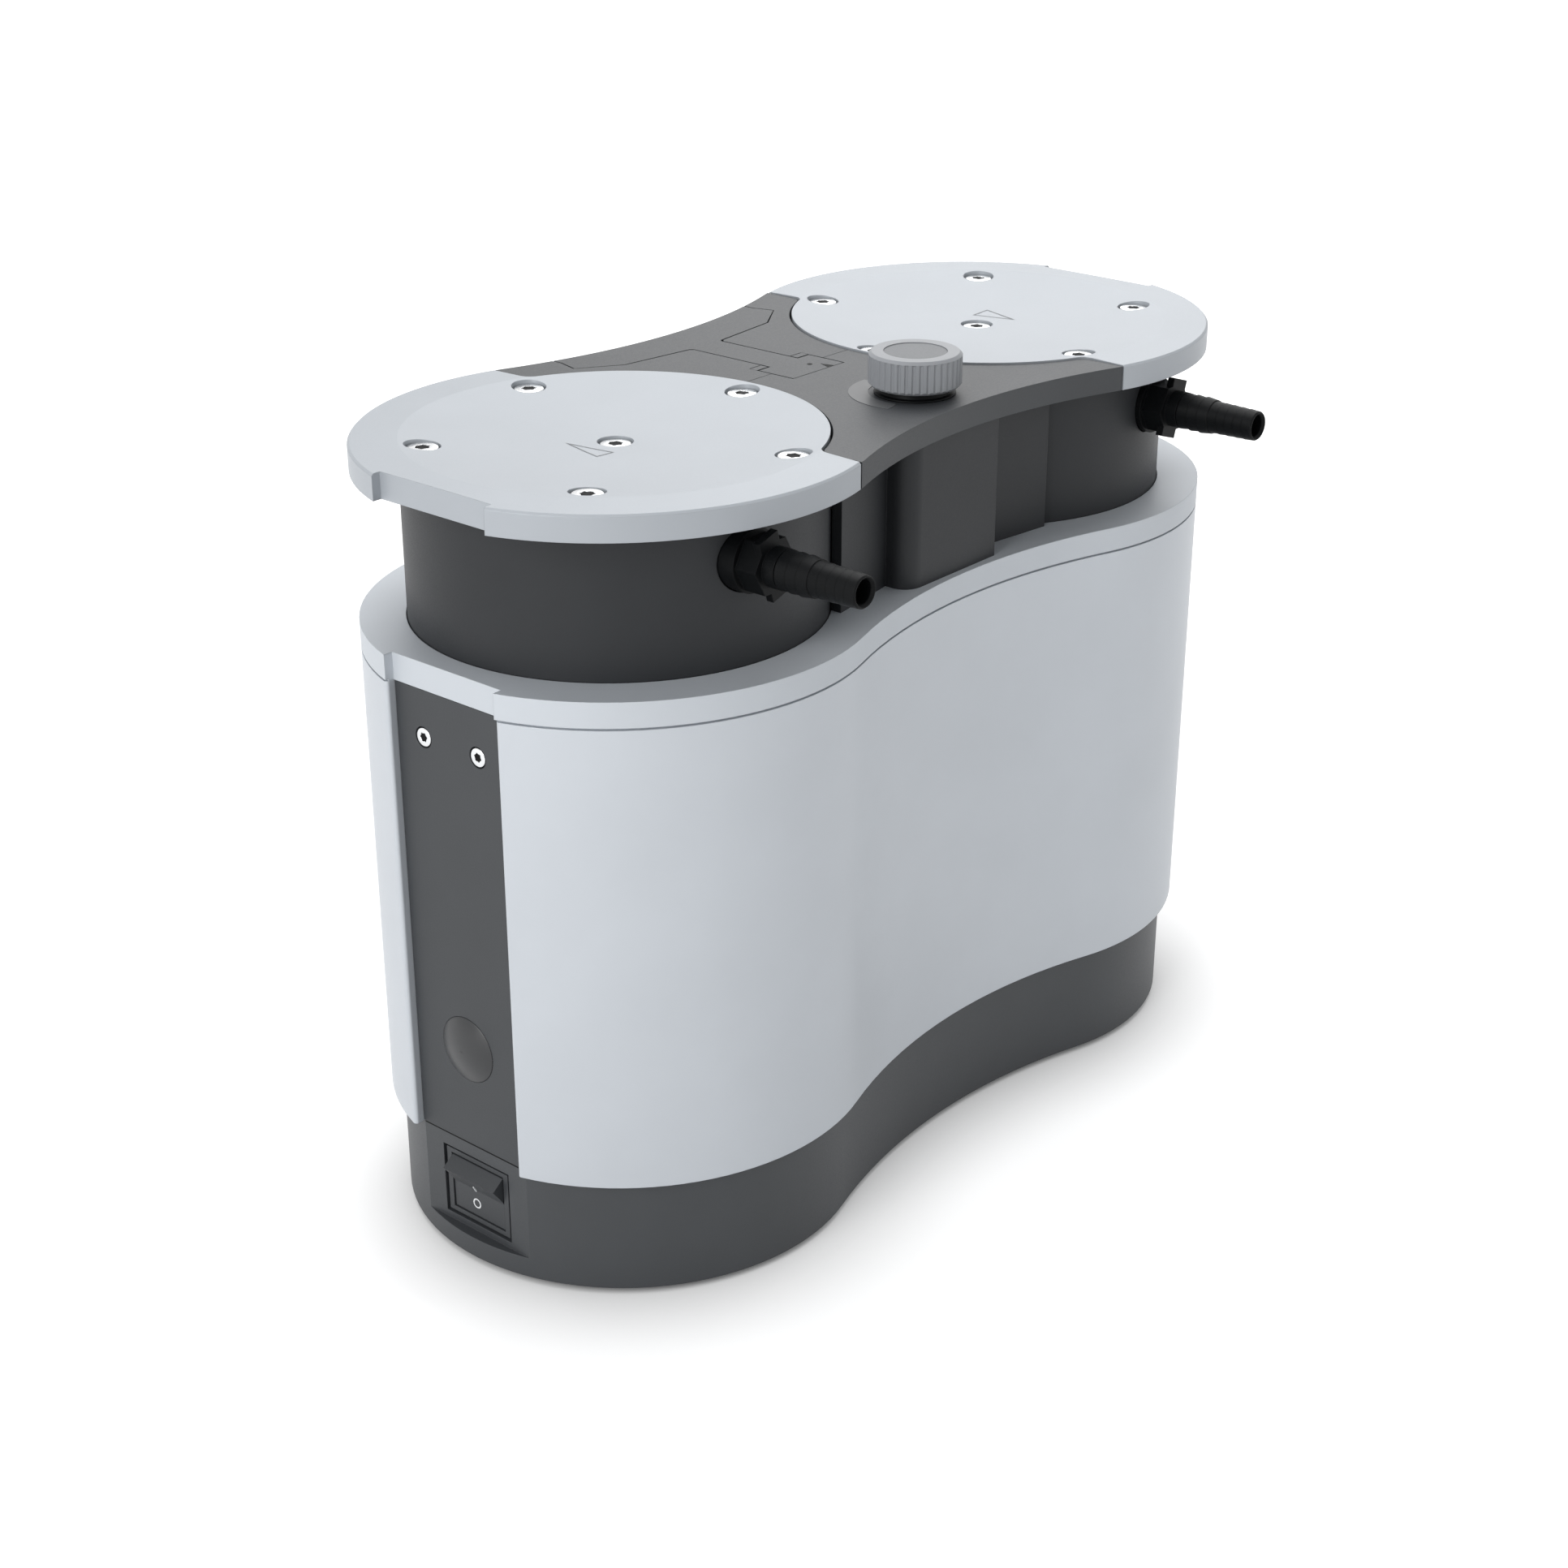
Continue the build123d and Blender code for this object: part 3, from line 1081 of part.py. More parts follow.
def stator_core():
    core = rod_x(MOTOR_RADIUS - MOTOR_WALL, -CORE_HALF, CORE_HALF, 0, SHAFT_HEIGHT)
    return core - rod_x(ROTOR_RADIUS + AIR_GAP, -CORE_HALF, CORE_HALF, 0, SHAFT_HEIGHT)


def stator_windings():
    inner = ROTOR_RADIUS + AIR_GAP + 2
    outer = MOTOR_RADIUS - MOTOR_WALL - 2.5
    ring = rod_x(outer, CORE_HALF, CORE_HALF + WINDING_LENGTH, 0, SHAFT_HEIGHT)
    ring -= rod_x(inner, CORE_HALF, CORE_HALF + WINDING_LENGTH, 0, SHAFT_HEIGHT)
    ring = fillet(ring.edges().filter_by(GeomType.CIRCLE).sort_by(Axis.X)[-2:], 3.0)
    return group([ring, mirror(ring, about=Plane.YZ)])


def rotor_core():
    core = rod_x(ROTOR_RADIUS, -CORE_HALF, CORE_HALF, 0, SHAFT_HEIGHT)
    return core - rod_x(SHAFT_RADIUS, -CORE_HALF, CORE_HALF, 0, SHAFT_HEIGHT)


def motor_shaft():
    half = HEAD_OFFSET + JOURNAL_WIDTH / 2 + 1
    return rod_x(SHAFT_RADIUS, -half, half, 0, SHAFT_HEIGHT)


def shaft_bearings():
    ring = rod_x(BEARING_RADIUS, -MOTOR_HALF, -MOTOR_HALF + BEARING_WIDTH, 0, SHAFT_HEIGHT)
    ring = Pos(-BEARING_WIDTH, 0, 0) * ring
    ring -= rod_x(SHAFT_RADIUS + RUNNING, -HEAD_OFFSET, 0, 0, SHAFT_HEIGHT)
    return group([ring, mirror(ring, about=Plane.YZ)])


def cooling_fan():
    x0 = CORE_HALF + WINDING_LENGTH + 3
    width = 7.0
    hub_r = SHAFT_RADIUS + 5
    fan = rod_x(hub_r, x0, x0 + width, 0, SHAFT_HEIGHT)
    blade = block(x0 + 1, x0 + width - 1, -0.8, 0.8, SHAFT_HEIGHT + hub_r - 1, SHAFT_HEIGHT + FAN_RADIUS)
    turn = Axis((0, 0, SHAFT_HEIGHT), (1, 0, 0))
    for i in range(FAN_BLADES):
        fan += blade.rotate(turn, i * 360 / FAN_BLADES)
    return fan - rod_x(SHAFT_RADIUS, x0, x0 + width, 0, SHAFT_HEIGHT)


# ---- assembly -----------------------------------------------------------------------------
def all_parts():
    """Every node by name. The front head stands at the top of its stroke, the rear at the bottom."""
    parts = {
        "base_tub": base_tub(),
        "rubber_feet": rubber_feet(),
        "rubber_buffers": rubber_buffers(),
        "circuit_board": circuit_board(),
        "run_capacitor": run_capacitor(),
        "side_shell_left": side_shell(-1),
        "side_shell_right": side_shell(1),
        "front_strip": end_strip(True),
        "rear_strip": mirror(end_strip(False), about=Plane.YZ),
        "strip_screws": strip_screws(),
        "front_plug": front_plug(),
        "lid_ring": lid_ring(),
        "centre_housing": centre_housing(),
        "transfer_tube": transfer_tube(),
        "valve_body": valve_body(),
        "valve_stem": valve_stem(),
        "valve_discs": valve_discs(),
        "connector_seals": connector_seals(),
        "cover_handle_side": cover_half(1),
        "cover_knob_side": cover_half(-1),
        "carry_handle": carry_handle(),
        "handle_pin": handle_pin(),
        "knob": knob(),
        "knob_cap": knob_cap(),
        "knob_collar": knob_collar(),
        "rocker": rocker(),
        "switch_body": switch_body(),
        "mains_inlet": mains_inlet(),
        "inlet_pins": inlet_pins(),
        "motor_housing": motor_housing(),
        "stator_core": stator_core(),
        "stator_windings": stator_windings(),
        "rotor_core": rotor_core(),
        "motor_shaft": motor_shaft(),
        "shaft_bearings": shaft_bearings(),
        "cooling_fan": cooling_fan(),
    }
    for end, place, lift in (("front", at_front, STROKE_HALF), ("rear", at_rear, -STROKE_HALF)):
        parts["crankcase_" + end] = place(crankcase())
        parts["head_housing_" + end] = place(head_housing())
        parts["head_cover_" + end] = place(head_cover())
        parts["head_plate_" + end] = place(head_plate())
        parts["top_plate_" + end] = place(top_plate())
        parts["plate_screws_" + end] = place(plate_screws())
        parts["hose_connector_" + end] = place(hose_connector())
        parts["diaphragm_" + end] = place(diaphragm(lift))
        parts["clamp_disc_" + end] = place(clamp_disc(lift))
        parts["connecting_rod_" + end] = place(connecting_rod(lift))
        parts["rod_bearing_" + end] = place(rod_bearing(lift))
        parts["eccentric_" + end] = place(eccentric(lift))
    return parts


os.makedirs("parts", exist_ok=True)
for name, part in all_parts().items():
    export_step(part, "parts/" + name + ".step")
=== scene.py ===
# %% [markdown]
# # Dressing a laboratory diaphragm pump
# The pump arrives as a finished mechanical model. Every housing, plate and rod already has its real size
# and place, so this lesson gives the pieces their finishes, adds the small things that a person at the
# bench would notice (screws, printed marks, engraved arrows) and sets up a plain studio. The first step
# loads the model as a fixed frame. It is never moved, and everything added rides on one of its bodies.

# %% Load the frame
import json
import math

import bpy
from mathutils import Matrix, Vector


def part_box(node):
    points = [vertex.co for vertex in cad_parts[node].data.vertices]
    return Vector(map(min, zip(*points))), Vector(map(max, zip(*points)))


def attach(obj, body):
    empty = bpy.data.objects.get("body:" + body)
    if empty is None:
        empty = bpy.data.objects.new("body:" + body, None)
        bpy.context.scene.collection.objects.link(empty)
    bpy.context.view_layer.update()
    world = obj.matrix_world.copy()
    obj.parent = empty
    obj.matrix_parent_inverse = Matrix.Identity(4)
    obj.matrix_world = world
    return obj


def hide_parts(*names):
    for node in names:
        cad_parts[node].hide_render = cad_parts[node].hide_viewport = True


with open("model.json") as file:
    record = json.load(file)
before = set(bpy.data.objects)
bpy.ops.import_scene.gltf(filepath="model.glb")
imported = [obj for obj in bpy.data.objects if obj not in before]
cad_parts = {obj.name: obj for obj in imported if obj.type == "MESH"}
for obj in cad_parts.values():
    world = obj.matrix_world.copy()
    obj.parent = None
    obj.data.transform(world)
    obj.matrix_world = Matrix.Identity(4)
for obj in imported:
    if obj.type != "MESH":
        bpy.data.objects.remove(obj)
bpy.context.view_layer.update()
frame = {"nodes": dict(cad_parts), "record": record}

MM = 0.001
nodes = frame["nodes"]
record = frame["record"]
bpy.ops.object.select_all(action="DESELECT")

# %% [markdown]
# ## The camera first
# The camera stands in front of the switch end and a little above the pump, at the height of someone who
# looks down on a bench. A lens of about 60 mm keeps the verticals nearly parallel. It is set up before
# anything is modelled, because it decides how fine the detail has to be.

# %% Camera
CAMERA_PLACE = (-0.55602, -0.46312, 0.42671)
CAMERA_TILT = 65.494
CAMERA_TURN = -49.63
CAMERA_LENS = 59.735
CAMERA_SENSOR = 36

camera_data = bpy.data.cameras.new("bench_camera")
camera_data.lens = CAMERA_LENS
camera_data.sensor_width = CAMERA_SENSOR
camera = bpy.data.objects.new("bench_camera", camera_data)
camera.location = CAMERA_PLACE
camera.rotation_euler = (math.radians(CAMERA_TILT), 0, math.radians(CAMERA_TURN))
bpy.context.scene.collection.objects.link(camera)
bpy.context.scene.camera = camera
print("camera distance", round(Vector(CAMERA_PLACE).length, 3), "m")

# %% [markdown]
# ## The studio
# A silver paint shows what is around it more than its own colour. The room is therefore an even, pale
# sky: white where it is seen, mirrored or looked at through glass, and dimmer where it only lights. A
# matt floor alone would turn grey and a glowing one alone would lose the shadow, so the two are mixed.
# The glow is made weaker by ambient occlusion where the pump stands close above it, which paints a contact
# shadow on the floor, and it takes over further out, so that no horizon shows.

# %% Room and floor
SKY_LEVEL = 0.30
SKY_TINT = (0.94, 0.97, 1.0, 1)
FLOOR_TINT = (0.92, 0.92, 0.92, 1)
FLOOR_SIZE = 8.0
FLOOR_GLOW = 0.45
FLOOR_LIGHT = 1.5
# reach of the painted contact shadow on the floor
PAINTED_SHADOW_REACH = 0.034
FADE_START = 0.35
FADE_END = 1.1


def seen_rays(tree):
    """One for the rays that show the background: straight to the camera, mirrored or through glass."""
    path = tree.nodes.new("ShaderNodeLightPath")
    mirrored = tree.nodes.new("ShaderNodeMath")
    mirrored.operation = "MAXIMUM"
    tree.links.new(path.outputs["Is Camera Ray"], mirrored.inputs[0])
    tree.links.new(path.outputs["Is Glossy Ray"], mirrored.inputs[1])
    through = tree.nodes.new("ShaderNodeMath")
    through.operation = "MAXIMUM"
    tree.links.new(mirrored.outputs[0], through.inputs[0])
    tree.links.new(path.outputs["Is Transmission Ray"], through.inputs[1])
    return through.outputs[0]


def make_world():
    world = bpy.data.worlds.new("studio_room")
    bpy.context.scene.world = world
    world.use_nodes = True
    tree = world.node_tree
    tree.nodes.clear()
    seen = tree.nodes.new("ShaderNodeBackground")
    seen.inputs["Color"].default_value = (1, 1, 1, 1)
    lit = tree.nodes.new("ShaderNodeBackground")
    lit.inputs["Color"].default_value = SKY_TINT
    lit.inputs["Strength"].default_value = SKY_LEVEL
    mix = tree.nodes.new("ShaderNodeMixShader")
    out = tree.nodes.new("ShaderNodeOutputWorld")
    tree.links.new(seen_rays(tree), mix.inputs["Fac"])
    tree.links.new(lit.outputs[0], mix.inputs[1])
    tree.links.new(seen.outputs[0], mix.inputs[2])
    tree.links.new(mix.outputs[0], out.inputs["Surface"])


def make_floor():
    bpy.ops.mesh.primitive_plane_add(size=FLOOR_SIZE, location=(0, 0, 0))
    floor = bpy.context.object
    floor.name = "bench_floor"
    material = bpy.data.materials.new("pale_floor")
    material.use_nodes = True
    tree = material.node_tree
    tree.nodes.clear()
    matt = tree.nodes.new("ShaderNodeBsdfDiffuse")
    matt.inputs["Color"].default_value = FLOOR_TINT
    glow = tree.nodes.new("ShaderNodeEmission")
    # painted shadow: ambient occlusion weakens the floor's glow close under the pump
    near = tree.nodes.new("ShaderNodeAmbientOcclusion")
    near.inputs["Distance"].default_value = PAINTED_SHADOW_REACH
    strength = tree.nodes.new("ShaderNodeMath")
    strength.operation = "MULTIPLY"
    strength.inputs[1].default_value = FLOOR_LIGHT
    tree.links.new(near.outputs["AO"], strength.inputs[0])
    tree.links.new(strength.outputs[0], glow.inputs["Strength"])
    place = tree.nodes.new("ShaderNodeTexCoord")
    away = tree.nodes.new("ShaderNodeVectorMath")
    away.operation = "LENGTH"
    tree.links.new(place.outputs["Object"], away.inputs[0])
    fade = tree.nodes.new("ShaderNodeMapRange")
    fade.inputs["From Min"].default_value = FADE_START
    fade.inputs["From Max"].default_value = FADE_END
    fade.inputs["To Min"].default_value = FLOOR_GLOW
    tree.links.new(away.outputs["Value"], fade.inputs["Value"])
    share = tree.nodes.new("ShaderNodeMath")
    share.operation = "MULTIPLY"
    tree.links.new(fade.outputs["Result"], share.inputs[1])
    mix = tree.nodes.new("ShaderNodeMixShader")
    out = tree.nodes.new("ShaderNodeOutputMaterial")
    tree.links.new(seen_rays(tree), share.inputs[0])
    tree.links.new(share.outputs[0], mix.inputs["Fac"])
    tree.links.new(matt.outputs[0], mix.inputs[1])
    tree.links.new(glow.outputs[0], mix.inputs[2])
    tree.links.new(mix.outputs[0], out.inputs["Surface"])
    floor.data.materials.append(material)
    floor.select_set(False)


make_world()
make_floor()
bpy.context.scene.view_settings.view_transform = "Standard"
print("floor", FLOOR_SIZE, "m wide, sky level", SKY_LEVEL)

# %% [markdown]
# ## Lamps
# Four soft boxes light the pump: a key lamp in front of the switch end, a large one overhead for the top
# plates, a weak one on the side of the connectors, and one behind whose reflection brightens the dark
# cover. Small lamps would put hard spots on the round shells.

# %% Lamps
def softbox(name, place, aim, size, power):
    """A rectangular lamp at place that faces aim; size is in metres, power in watts."""
    data = bpy.data.lights.new(name, "AREA")
    data.shape = "RECTANGLE"
    data.size, data.size_y = size
    data.energy = power
    lamp = bpy.data.objects.new(name, data)
    lamp.location = place
    lamp.rotation_euler = (Vector(aim) - Vector(place)).to_track_quat("-Z", "Y").to_euler()
    bpy.context.scene.collection.objects.link(lamp)


PUMP_MIDDLE = (0, 0, 0.12)
softbox("key_lamp", (-1.5, -0.15, 0.8), PUMP_MIDDLE, (0.8, 1.2), 15.5)
softbox("top_lamp", (0.5, 0.5, 1.8), PUMP_MIDDLE, (1.6, 1.6), 24)
softbox("side_lamp", (0.9, -1.5, 0.7), PUMP_MIDDLE, (1.2, 1.0), 3)
softbox("far_lamp", (1.5, 0.8, 0.95), PUMP_MIDDLE, (1.2, 0.8), 4)
print("lamps", len(bpy.data.lights))

# %% [markdown]
# ## Finishes
# Each finish is a small node tree on the piece's own coordinates, in metres, so a grain of a third of a
# millimetre is a noise scale of three thousand. Three layers are shared by all: a slow drift of tone, a
# fine grain that breaks up the gloss, and a very shallow relief. Small prints and the painted shade of
# dark hollows get the drift of tone only.

# %% Shared layers of a finish
NOISE_LOW = 0.3
NOISE_HIGH = 0.7
DRIFT_GRAIN = 25 * MM
FINE_DETAIL = 3.0
GLOSS_SPREAD = 0.04
EDGE_ROUND = 0.3 * MM


def start_finish(name, rough, metal=0.0):
    """A new material and its shader."""
    material = bpy.data.materials.new(name)
    material.use_nodes = True
    shader = material.node_tree.nodes["Principled BSDF"]
    shader.inputs["Roughness"].default_value = rough
    shader.inputs["Metallic"].default_value = metal
    return material, shader


def noise_layer(material, grain, detail=2.0):
    """Noise whose blotches are about one grain, in metres, across."""
    tree = material.node_tree
    place = tree.nodes.new("ShaderNodeTexCoord")
    noise = tree.nodes.new("ShaderNodeTexNoise")
    noise.inputs["Scale"].default_value = 1 / grain
    noise.inputs["Detail"].default_value = detail
    tree.links.new(place.outputs["Object"], noise.inputs["Vector"])
    return noise.outputs["Fac"]


def tone(material, shader, factor, dark, light):
    """Base colour that drifts between two near tones."""
    tree = material.node_tree
    ramp = tree.nodes.new("ShaderNodeValToRGB")
    ramp.color_ramp.elements[0].position = NOISE_LOW
    ramp.color_ramp.elements[1].position = NOISE_HIGH
    ramp.color_ramp.elements[0].color = (*dark, 1)
    ramp.color_ramp.elements[1].color = (*light, 1)
    tree.links.new(factor, ramp.inputs["Fac"])
    tree.links.new(ramp.outputs["Color"], shader.inputs["Base Color"])


def gloss(material, shader, factor, low, high):
    """Roughness between two values."""
    tree = material.node_tree
    spread = tree.nodes.new("ShaderNodeMapRange")
    spread.inputs["From Min"].default_value = NOISE_LOW
    spread.inputs["From Max"].default_value = NOISE_HIGH
    spread.inputs["To Min"].default_value = low
    spread.inputs["To Max"].default_value = high
    tree.links.new(factor, spread.inputs["Value"])
    tree.links.new(spread.outputs["Result"], shader.inputs["Roughness"])


def relief(material, shader, factor, depth):
    """Shallow bump over slightly rounded edges, depth in metres."""
    tree = material.node_tree
    bump = tree.nodes.new("ShaderNodeBump")
    bump.inputs["Strength"].default_value = 1.0
    bump.inputs["Distance"].default_value = depth
    edge = tree.nodes.new("ShaderNodeBevel")
    edge.samples = 4
    edge.inputs["Radius"].default_value = EDGE_ROUND
    tree.links.new(edge.outputs["Normal"], bump.inputs["Normal"])
    tree.links.new(factor, bump.inputs["Height"])
    tree.links.new(bump.outputs["Normal"], shader.inputs["Normal"])


def shade(colour, factor):
    return tuple(channel * factor for channel in colour)


def grained(name, colour, rough, metal=0.0, spread=0.05, grain=0.4 * MM, depth=0.004 * MM, shine=0.5):
    """The usual finish: tone drift, a fine grain in the gloss and a shallow relief."""
    material, shader = start_finish(name, rough, metal)
    shader.inputs["Specular IOR Level"].default_value = shine
    drift = noise_layer(material, DRIFT_GRAIN)
    tone(material, shader, drift, shade(colour, 1 - spread), shade(colour, 1 + spread))
    fine = noise_layer(material, grain, FINE_DETAIL)
    gloss(material, shader, fine, rough - GLOSS_SPREAD, rough + GLOSS_SPREAD)
    relief(material, shader, fine, depth)
    return material


def plain_coat(name, rough, grain, dark, light, shine=0.5):
    """A print, or the painted shade of a dark hollow, with no grain: only the tone drifts."""
    material, shader = start_finish(name, rough)
    shader.inputs["Specular IOR Level"].default_value = shine
    tone(material, shader, noise_layer(material, grain), dark, light)
    return material


print("layers ready, edges rounded by", round(EDGE_ROUND / MM, 2), "mm")

# %% [markdown]
# ## Finishes of the pump
# Shells, lid ring and top plates are painted silver, with a little metal in the paint. Base, heads,
# cover and handle are moulded in dark graphite, the connectors in black. Each finish is one entry of a
# table, so that two can be compared at a glance, and every node gets the finish its record names. A
# few pieces get one of their own: a darker copy of the graphite on the heads is painted shade, a lighter
# copy on the base is painted light, and the lid ring and the plug differ a little in tone and gloss.


# %% Finishes of the pump
PAINT = {"spread": 0.015, "grain": 0.35 * MM}
MOULDED = {"spread": 0.06, "depth": 0.012 * MM}
recipes = {
    "silver_paint": {"colour": (0.54, 0.568, 0.603), "rough": 0.42, "metal": 0.25, **PAINT},
    "plate_paint": {"colour": (0.39, 0.414, 0.443), "rough": 0.45, "metal": 0.2, **PAINT},
    "graphite_plastic": {"colour": (0.031, 0.034, 0.038), "rough": 0.52, **MOULDED},
    "switch_plastic": {"colour": (0.034, 0.037, 0.041), "rough": 0.50, **MOULDED},
    "black_plastic": {
        "colour": (0.0035, 0.004, 0.0045), "rough": 0.45, "spread": 0.08, "depth": 0.008 * MM,
        "shine": 0.1,
    },
    "knob_grey": {"colour": (0.27, 0.28, 0.296), "rough": 0.47, "spread": 0.04, "depth": 0.010 * MM},
    "knob_cap_grey": {"colour": (0.12, 0.127, 0.136), "rough": 0.50, "spread": 0.04, "depth": 0.008 * MM},
    "lid_paint": {"colour": (0.55, 0.58, 0.615), "rough": 0.50, "metal": 0.15, **PAINT},
    # painted light: a lighter copy of the graphite makes the base read lighter
    "base_plastic_painted_light": {"colour": (0.041, 0.0445, 0.049), "rough": 0.50, **MOULDED},
    # painted shade: a darker copy of the graphite makes the heads read darker
    "head_plastic_painted_shade": {"colour": (0.020, 0.0215, 0.024), "rough": 0.52, "shine": 0.3, **MOULDED},
    "plug_rubber": {"colour": (0.030, 0.031, 0.033), "rough": 0.34, "spread": 0.05, "depth": 0.004 * MM},
    "black_rubber": {"colour": (0.045, 0.047, 0.050), "rough": 0.62, "spread": 0.06, "depth": 0.010 * MM},
    "screw_steel": {
        "colour": (0.74, 0.75, 0.76), "rough": 0.24, "metal": 1.0, "spread": 0.03,
        "depth": 0.001 * MM,
    },
    "plated_brass": {"colour": (0.72, 0.70, 0.62), "rough": 0.25, "metal": 1.0, "spread": 0.03},
    "cast_aluminium": {
        "colour": (0.50, 0.51, 0.52), "rough": 0.50, "metal": 0.9, "spread": 0.06,
        "grain": 1.2 * MM, "depth": 0.03 * MM,
    },
    "machined_steel": {"colour": (0.45, 0.46, 0.47), "rough": 0.28, "metal": 1.0, "spread": 0.04},
    "laminated_steel": {"colour": (0.20, 0.21, 0.23), "rough": 0.45, "metal": 0.8, "spread": 0.08},
    "enamelled_copper": {
        "colour": (0.45, 0.16, 0.06), "rough": 0.35, "metal": 0.6, "spread": 0.10,
        "grain": 0.8 * MM, "depth": 0.10 * MM,
    },
    "head_polymer": {"colour": (0.55, 0.55, 0.51), "rough": 0.45, "spread": 0.04},
    "diaphragm_elastomer": {"colour": (0.55, 0.54, 0.50), "rough": 0.55, "spread": 0.04},
    "fan_plastic": {"colour": (0.03, 0.03, 0.03), "rough": 0.50, "spread": 0.06},
    "board_green": {"colour": (0.02, 0.12, 0.05), "rough": 0.35, "spread": 0.10},
    "capacitor_can": {"colour": (0.60, 0.60, 0.60), "rough": 0.30, "metal": 1.0, "spread": 0.03},
}
finishes = {name: grained(name, **recipe) for name, recipe in recipes.items()}
finish_of = {part["node"]: part["material_slot"] for part in record["subparts"]}
for name, node in nodes.items():
    node.data.materials.clear()
    node.data.materials.append(finishes[finish_of[name]])
OWN_FINISH = {
    "front_plug": "plug_rubber",
    "base_tub": "base_plastic_painted_light",
    "lid_ring": "lid_paint",
    "centre_housing": "head_plastic_painted_shade",
    "head_housing_front": "head_plastic_painted_shade",
    "head_housing_rear": "head_plastic_painted_shade",
}
for name, finish in OWN_FINISH.items():
    nodes[name].data.materials[0] = finishes[finish]
print("dressed", len(nodes), "nodes in", len(finishes), "finishes")

# %% [markdown]
# ## Screws
# The plates are held by screws with a six-lobed recess. One screw is modelled: a cylinder whose top rim
# is bevelled, and a cutter made from a twelve-sided cylinder whose alternate edges are drawn inwards.
# The cutter is taken out of the head with a Boolean modifier. With no mouse, edges and faces are selected
# by a test on their place or normal, and everything else is deselected first, because an operator acts on
# all that is selected. The helpers for that come first.

# %% Mesh helpers
SMOOTH_ANGLE = math.radians(35)


def clear_selection(thing):
    """Make thing the active object, with none of its vertices, edges or faces selected."""
    bpy.ops.object.select_all(action="DESELECT")
    bpy.context.view_layer.objects.active = thing
    thing.select_set(True)
    bpy.ops.object.mode_set(mode="EDIT")
    bpy.ops.mesh.select_all(action="DESELECT")
    bpy.ops.object.mode_set(mode="OBJECT")


def pick(thing, kind, test):
    """Select the faces, edges or vertices that pass the test, then go to edit mode."""
    clear_selection(thing)
    mesh = thing.data
    bpy.context.tool_settings.mesh_select_mode = (kind == "VERT", kind == "EDGE", kind == "FACE")
    if kind == "FACE":
        for face in mesh.polygons:
            face.select = test(face)
    elif kind == "EDGE":
        for edge in mesh.edges:
            edge.select = test(*(mesh.vertices[i].co for i in edge.vertices))
    else:
        for vertex in mesh.vertices:
            vertex.select = test(vertex.co)
    bpy.ops.object.mode_set(mode="EDIT")


def done_editing(thing):
    """Leave edit mode and deselect thing."""
    bpy.ops.object.mode_set(mode="OBJECT")
    thing.select_set(False)


def settle(thing):
    """Apply the object's place, turn and size, so that its origin is the frame's."""
    bpy.ops.object.select_all(action="DESELECT")
    bpy.context.view_layer.objects.active = thing
    thing.select_set(True)
    bpy.ops.object.transform_apply(location=True, rotation=True, scale=True)
    bpy.ops.object.mode_set(mode="EDIT")
    bpy.ops.mesh.select_all(action="SELECT")
    bpy.ops.mesh.normals_make_consistent(inside=False)
    bpy.ops.object.mode_set(mode="OBJECT")
    bpy.ops.object.shade_smooth_by_angle(angle=SMOOTH_ANGLE)
    thing.select_set(False)


def cut_away(thing, cutter):
    """Take cutter out of thing and delete it."""
    boolean = thing.modifiers.new("cut", "BOOLEAN")
    boolean.object = cutter
    boolean.operation = "DIFFERENCE"
    boolean.solver = "EXACT"
    bpy.context.view_layer.objects.active = thing
    bpy.ops.object.modifier_apply(modifier=boolean.name)
    bpy.data.objects.remove(cutter)


def copy_to(thing, matrix):
    """A copy with its own mesh, moved by matrix."""
    copy = thing.copy()
    copy.data = thing.data.copy()
    copy.matrix_world = matrix @ thing.matrix_world
    bpy.context.scene.collection.objects.link(copy)
    return copy


def join(name, things):
    """Join things into one piece called name."""
    bpy.ops.object.select_all(action="DESELECT")
    for thing in things:
        thing.select_set(True)
    bpy.context.view_layer.objects.active = things[0]
    bpy.ops.object.join()
    joined = things[0]
    joined.name = name
    settle(joined)
    return joined


def dress(thing, slot, finish=None):
    """Give thing its material slot and a finish, by default the finish of that slot."""
    thing.data.materials.clear()
    thing.data.materials.append(finish or finishes[slot])


print("pieces are smooth below", round(math.degrees(SMOOTH_ANGLE)), "degrees")

# %% [markdown]
# ## One screw with a six-lobed recess
# The sizes inside the screw are shares of its height or of its recess, so that the same steps give the
# larger screws of the plates and the smaller ones of the end strips.

# %% One screw with a six-lobed recess
SCREW_SIDES = 40
TOP_EDGE = 0.49
RIM_BEVEL = 0.16
LOBES = 6
LOBE_TURN = math.radians(15)
LOBE_DRAW = 0.74
LOBE_BEVEL = 0.16
CUTTER_LIFT = 1.05


def lobed_screw(radius, height, recess):
    """The head along Z with its underside at the origin; recess is the radius of the lobes."""
    bpy.ops.mesh.primitive_cylinder_add(
        vertices=SCREW_SIDES, radius=radius, depth=height, location=(0, 0, height / 2)
    )
    head = bpy.context.object
    top = height * TOP_EDGE
    pick(head, "EDGE", lambda a, b: a.z > top and b.z > top)
    bpy.ops.mesh.bevel(offset=height * RIM_BEVEL, segments=3)
    done_editing(head)
    bpy.ops.mesh.primitive_cylinder_add(
        vertices=2 * LOBES, radius=recess, depth=height,
        location=(0, 0, height * CUTTER_LIFT), rotation=(0, 0, LOBE_TURN),
    )
    cutter = bpy.context.object
    step = math.radians(360 / LOBES)

    def inner(co):
        """True for the edges of the cutter that lie halfway between two lobes."""
        turn = math.atan2(co.y, co.x) / step
        return abs(turn - round(turn)) > 0.4

    pick(cutter, "VERT", inner)
    bpy.ops.transform.resize(value=(LOBE_DRAW, LOBE_DRAW, 1))
    done_editing(cutter)
    pick(cutter, "EDGE", lambda a, b: abs(a.z - b.z) > height / 2)
    bpy.ops.mesh.bevel(offset=recess * LOBE_BEVEL, segments=2)
    done_editing(cutter)
    cut_away(head, cutter)
    return head


print("screw with", LOBES, "lobes")
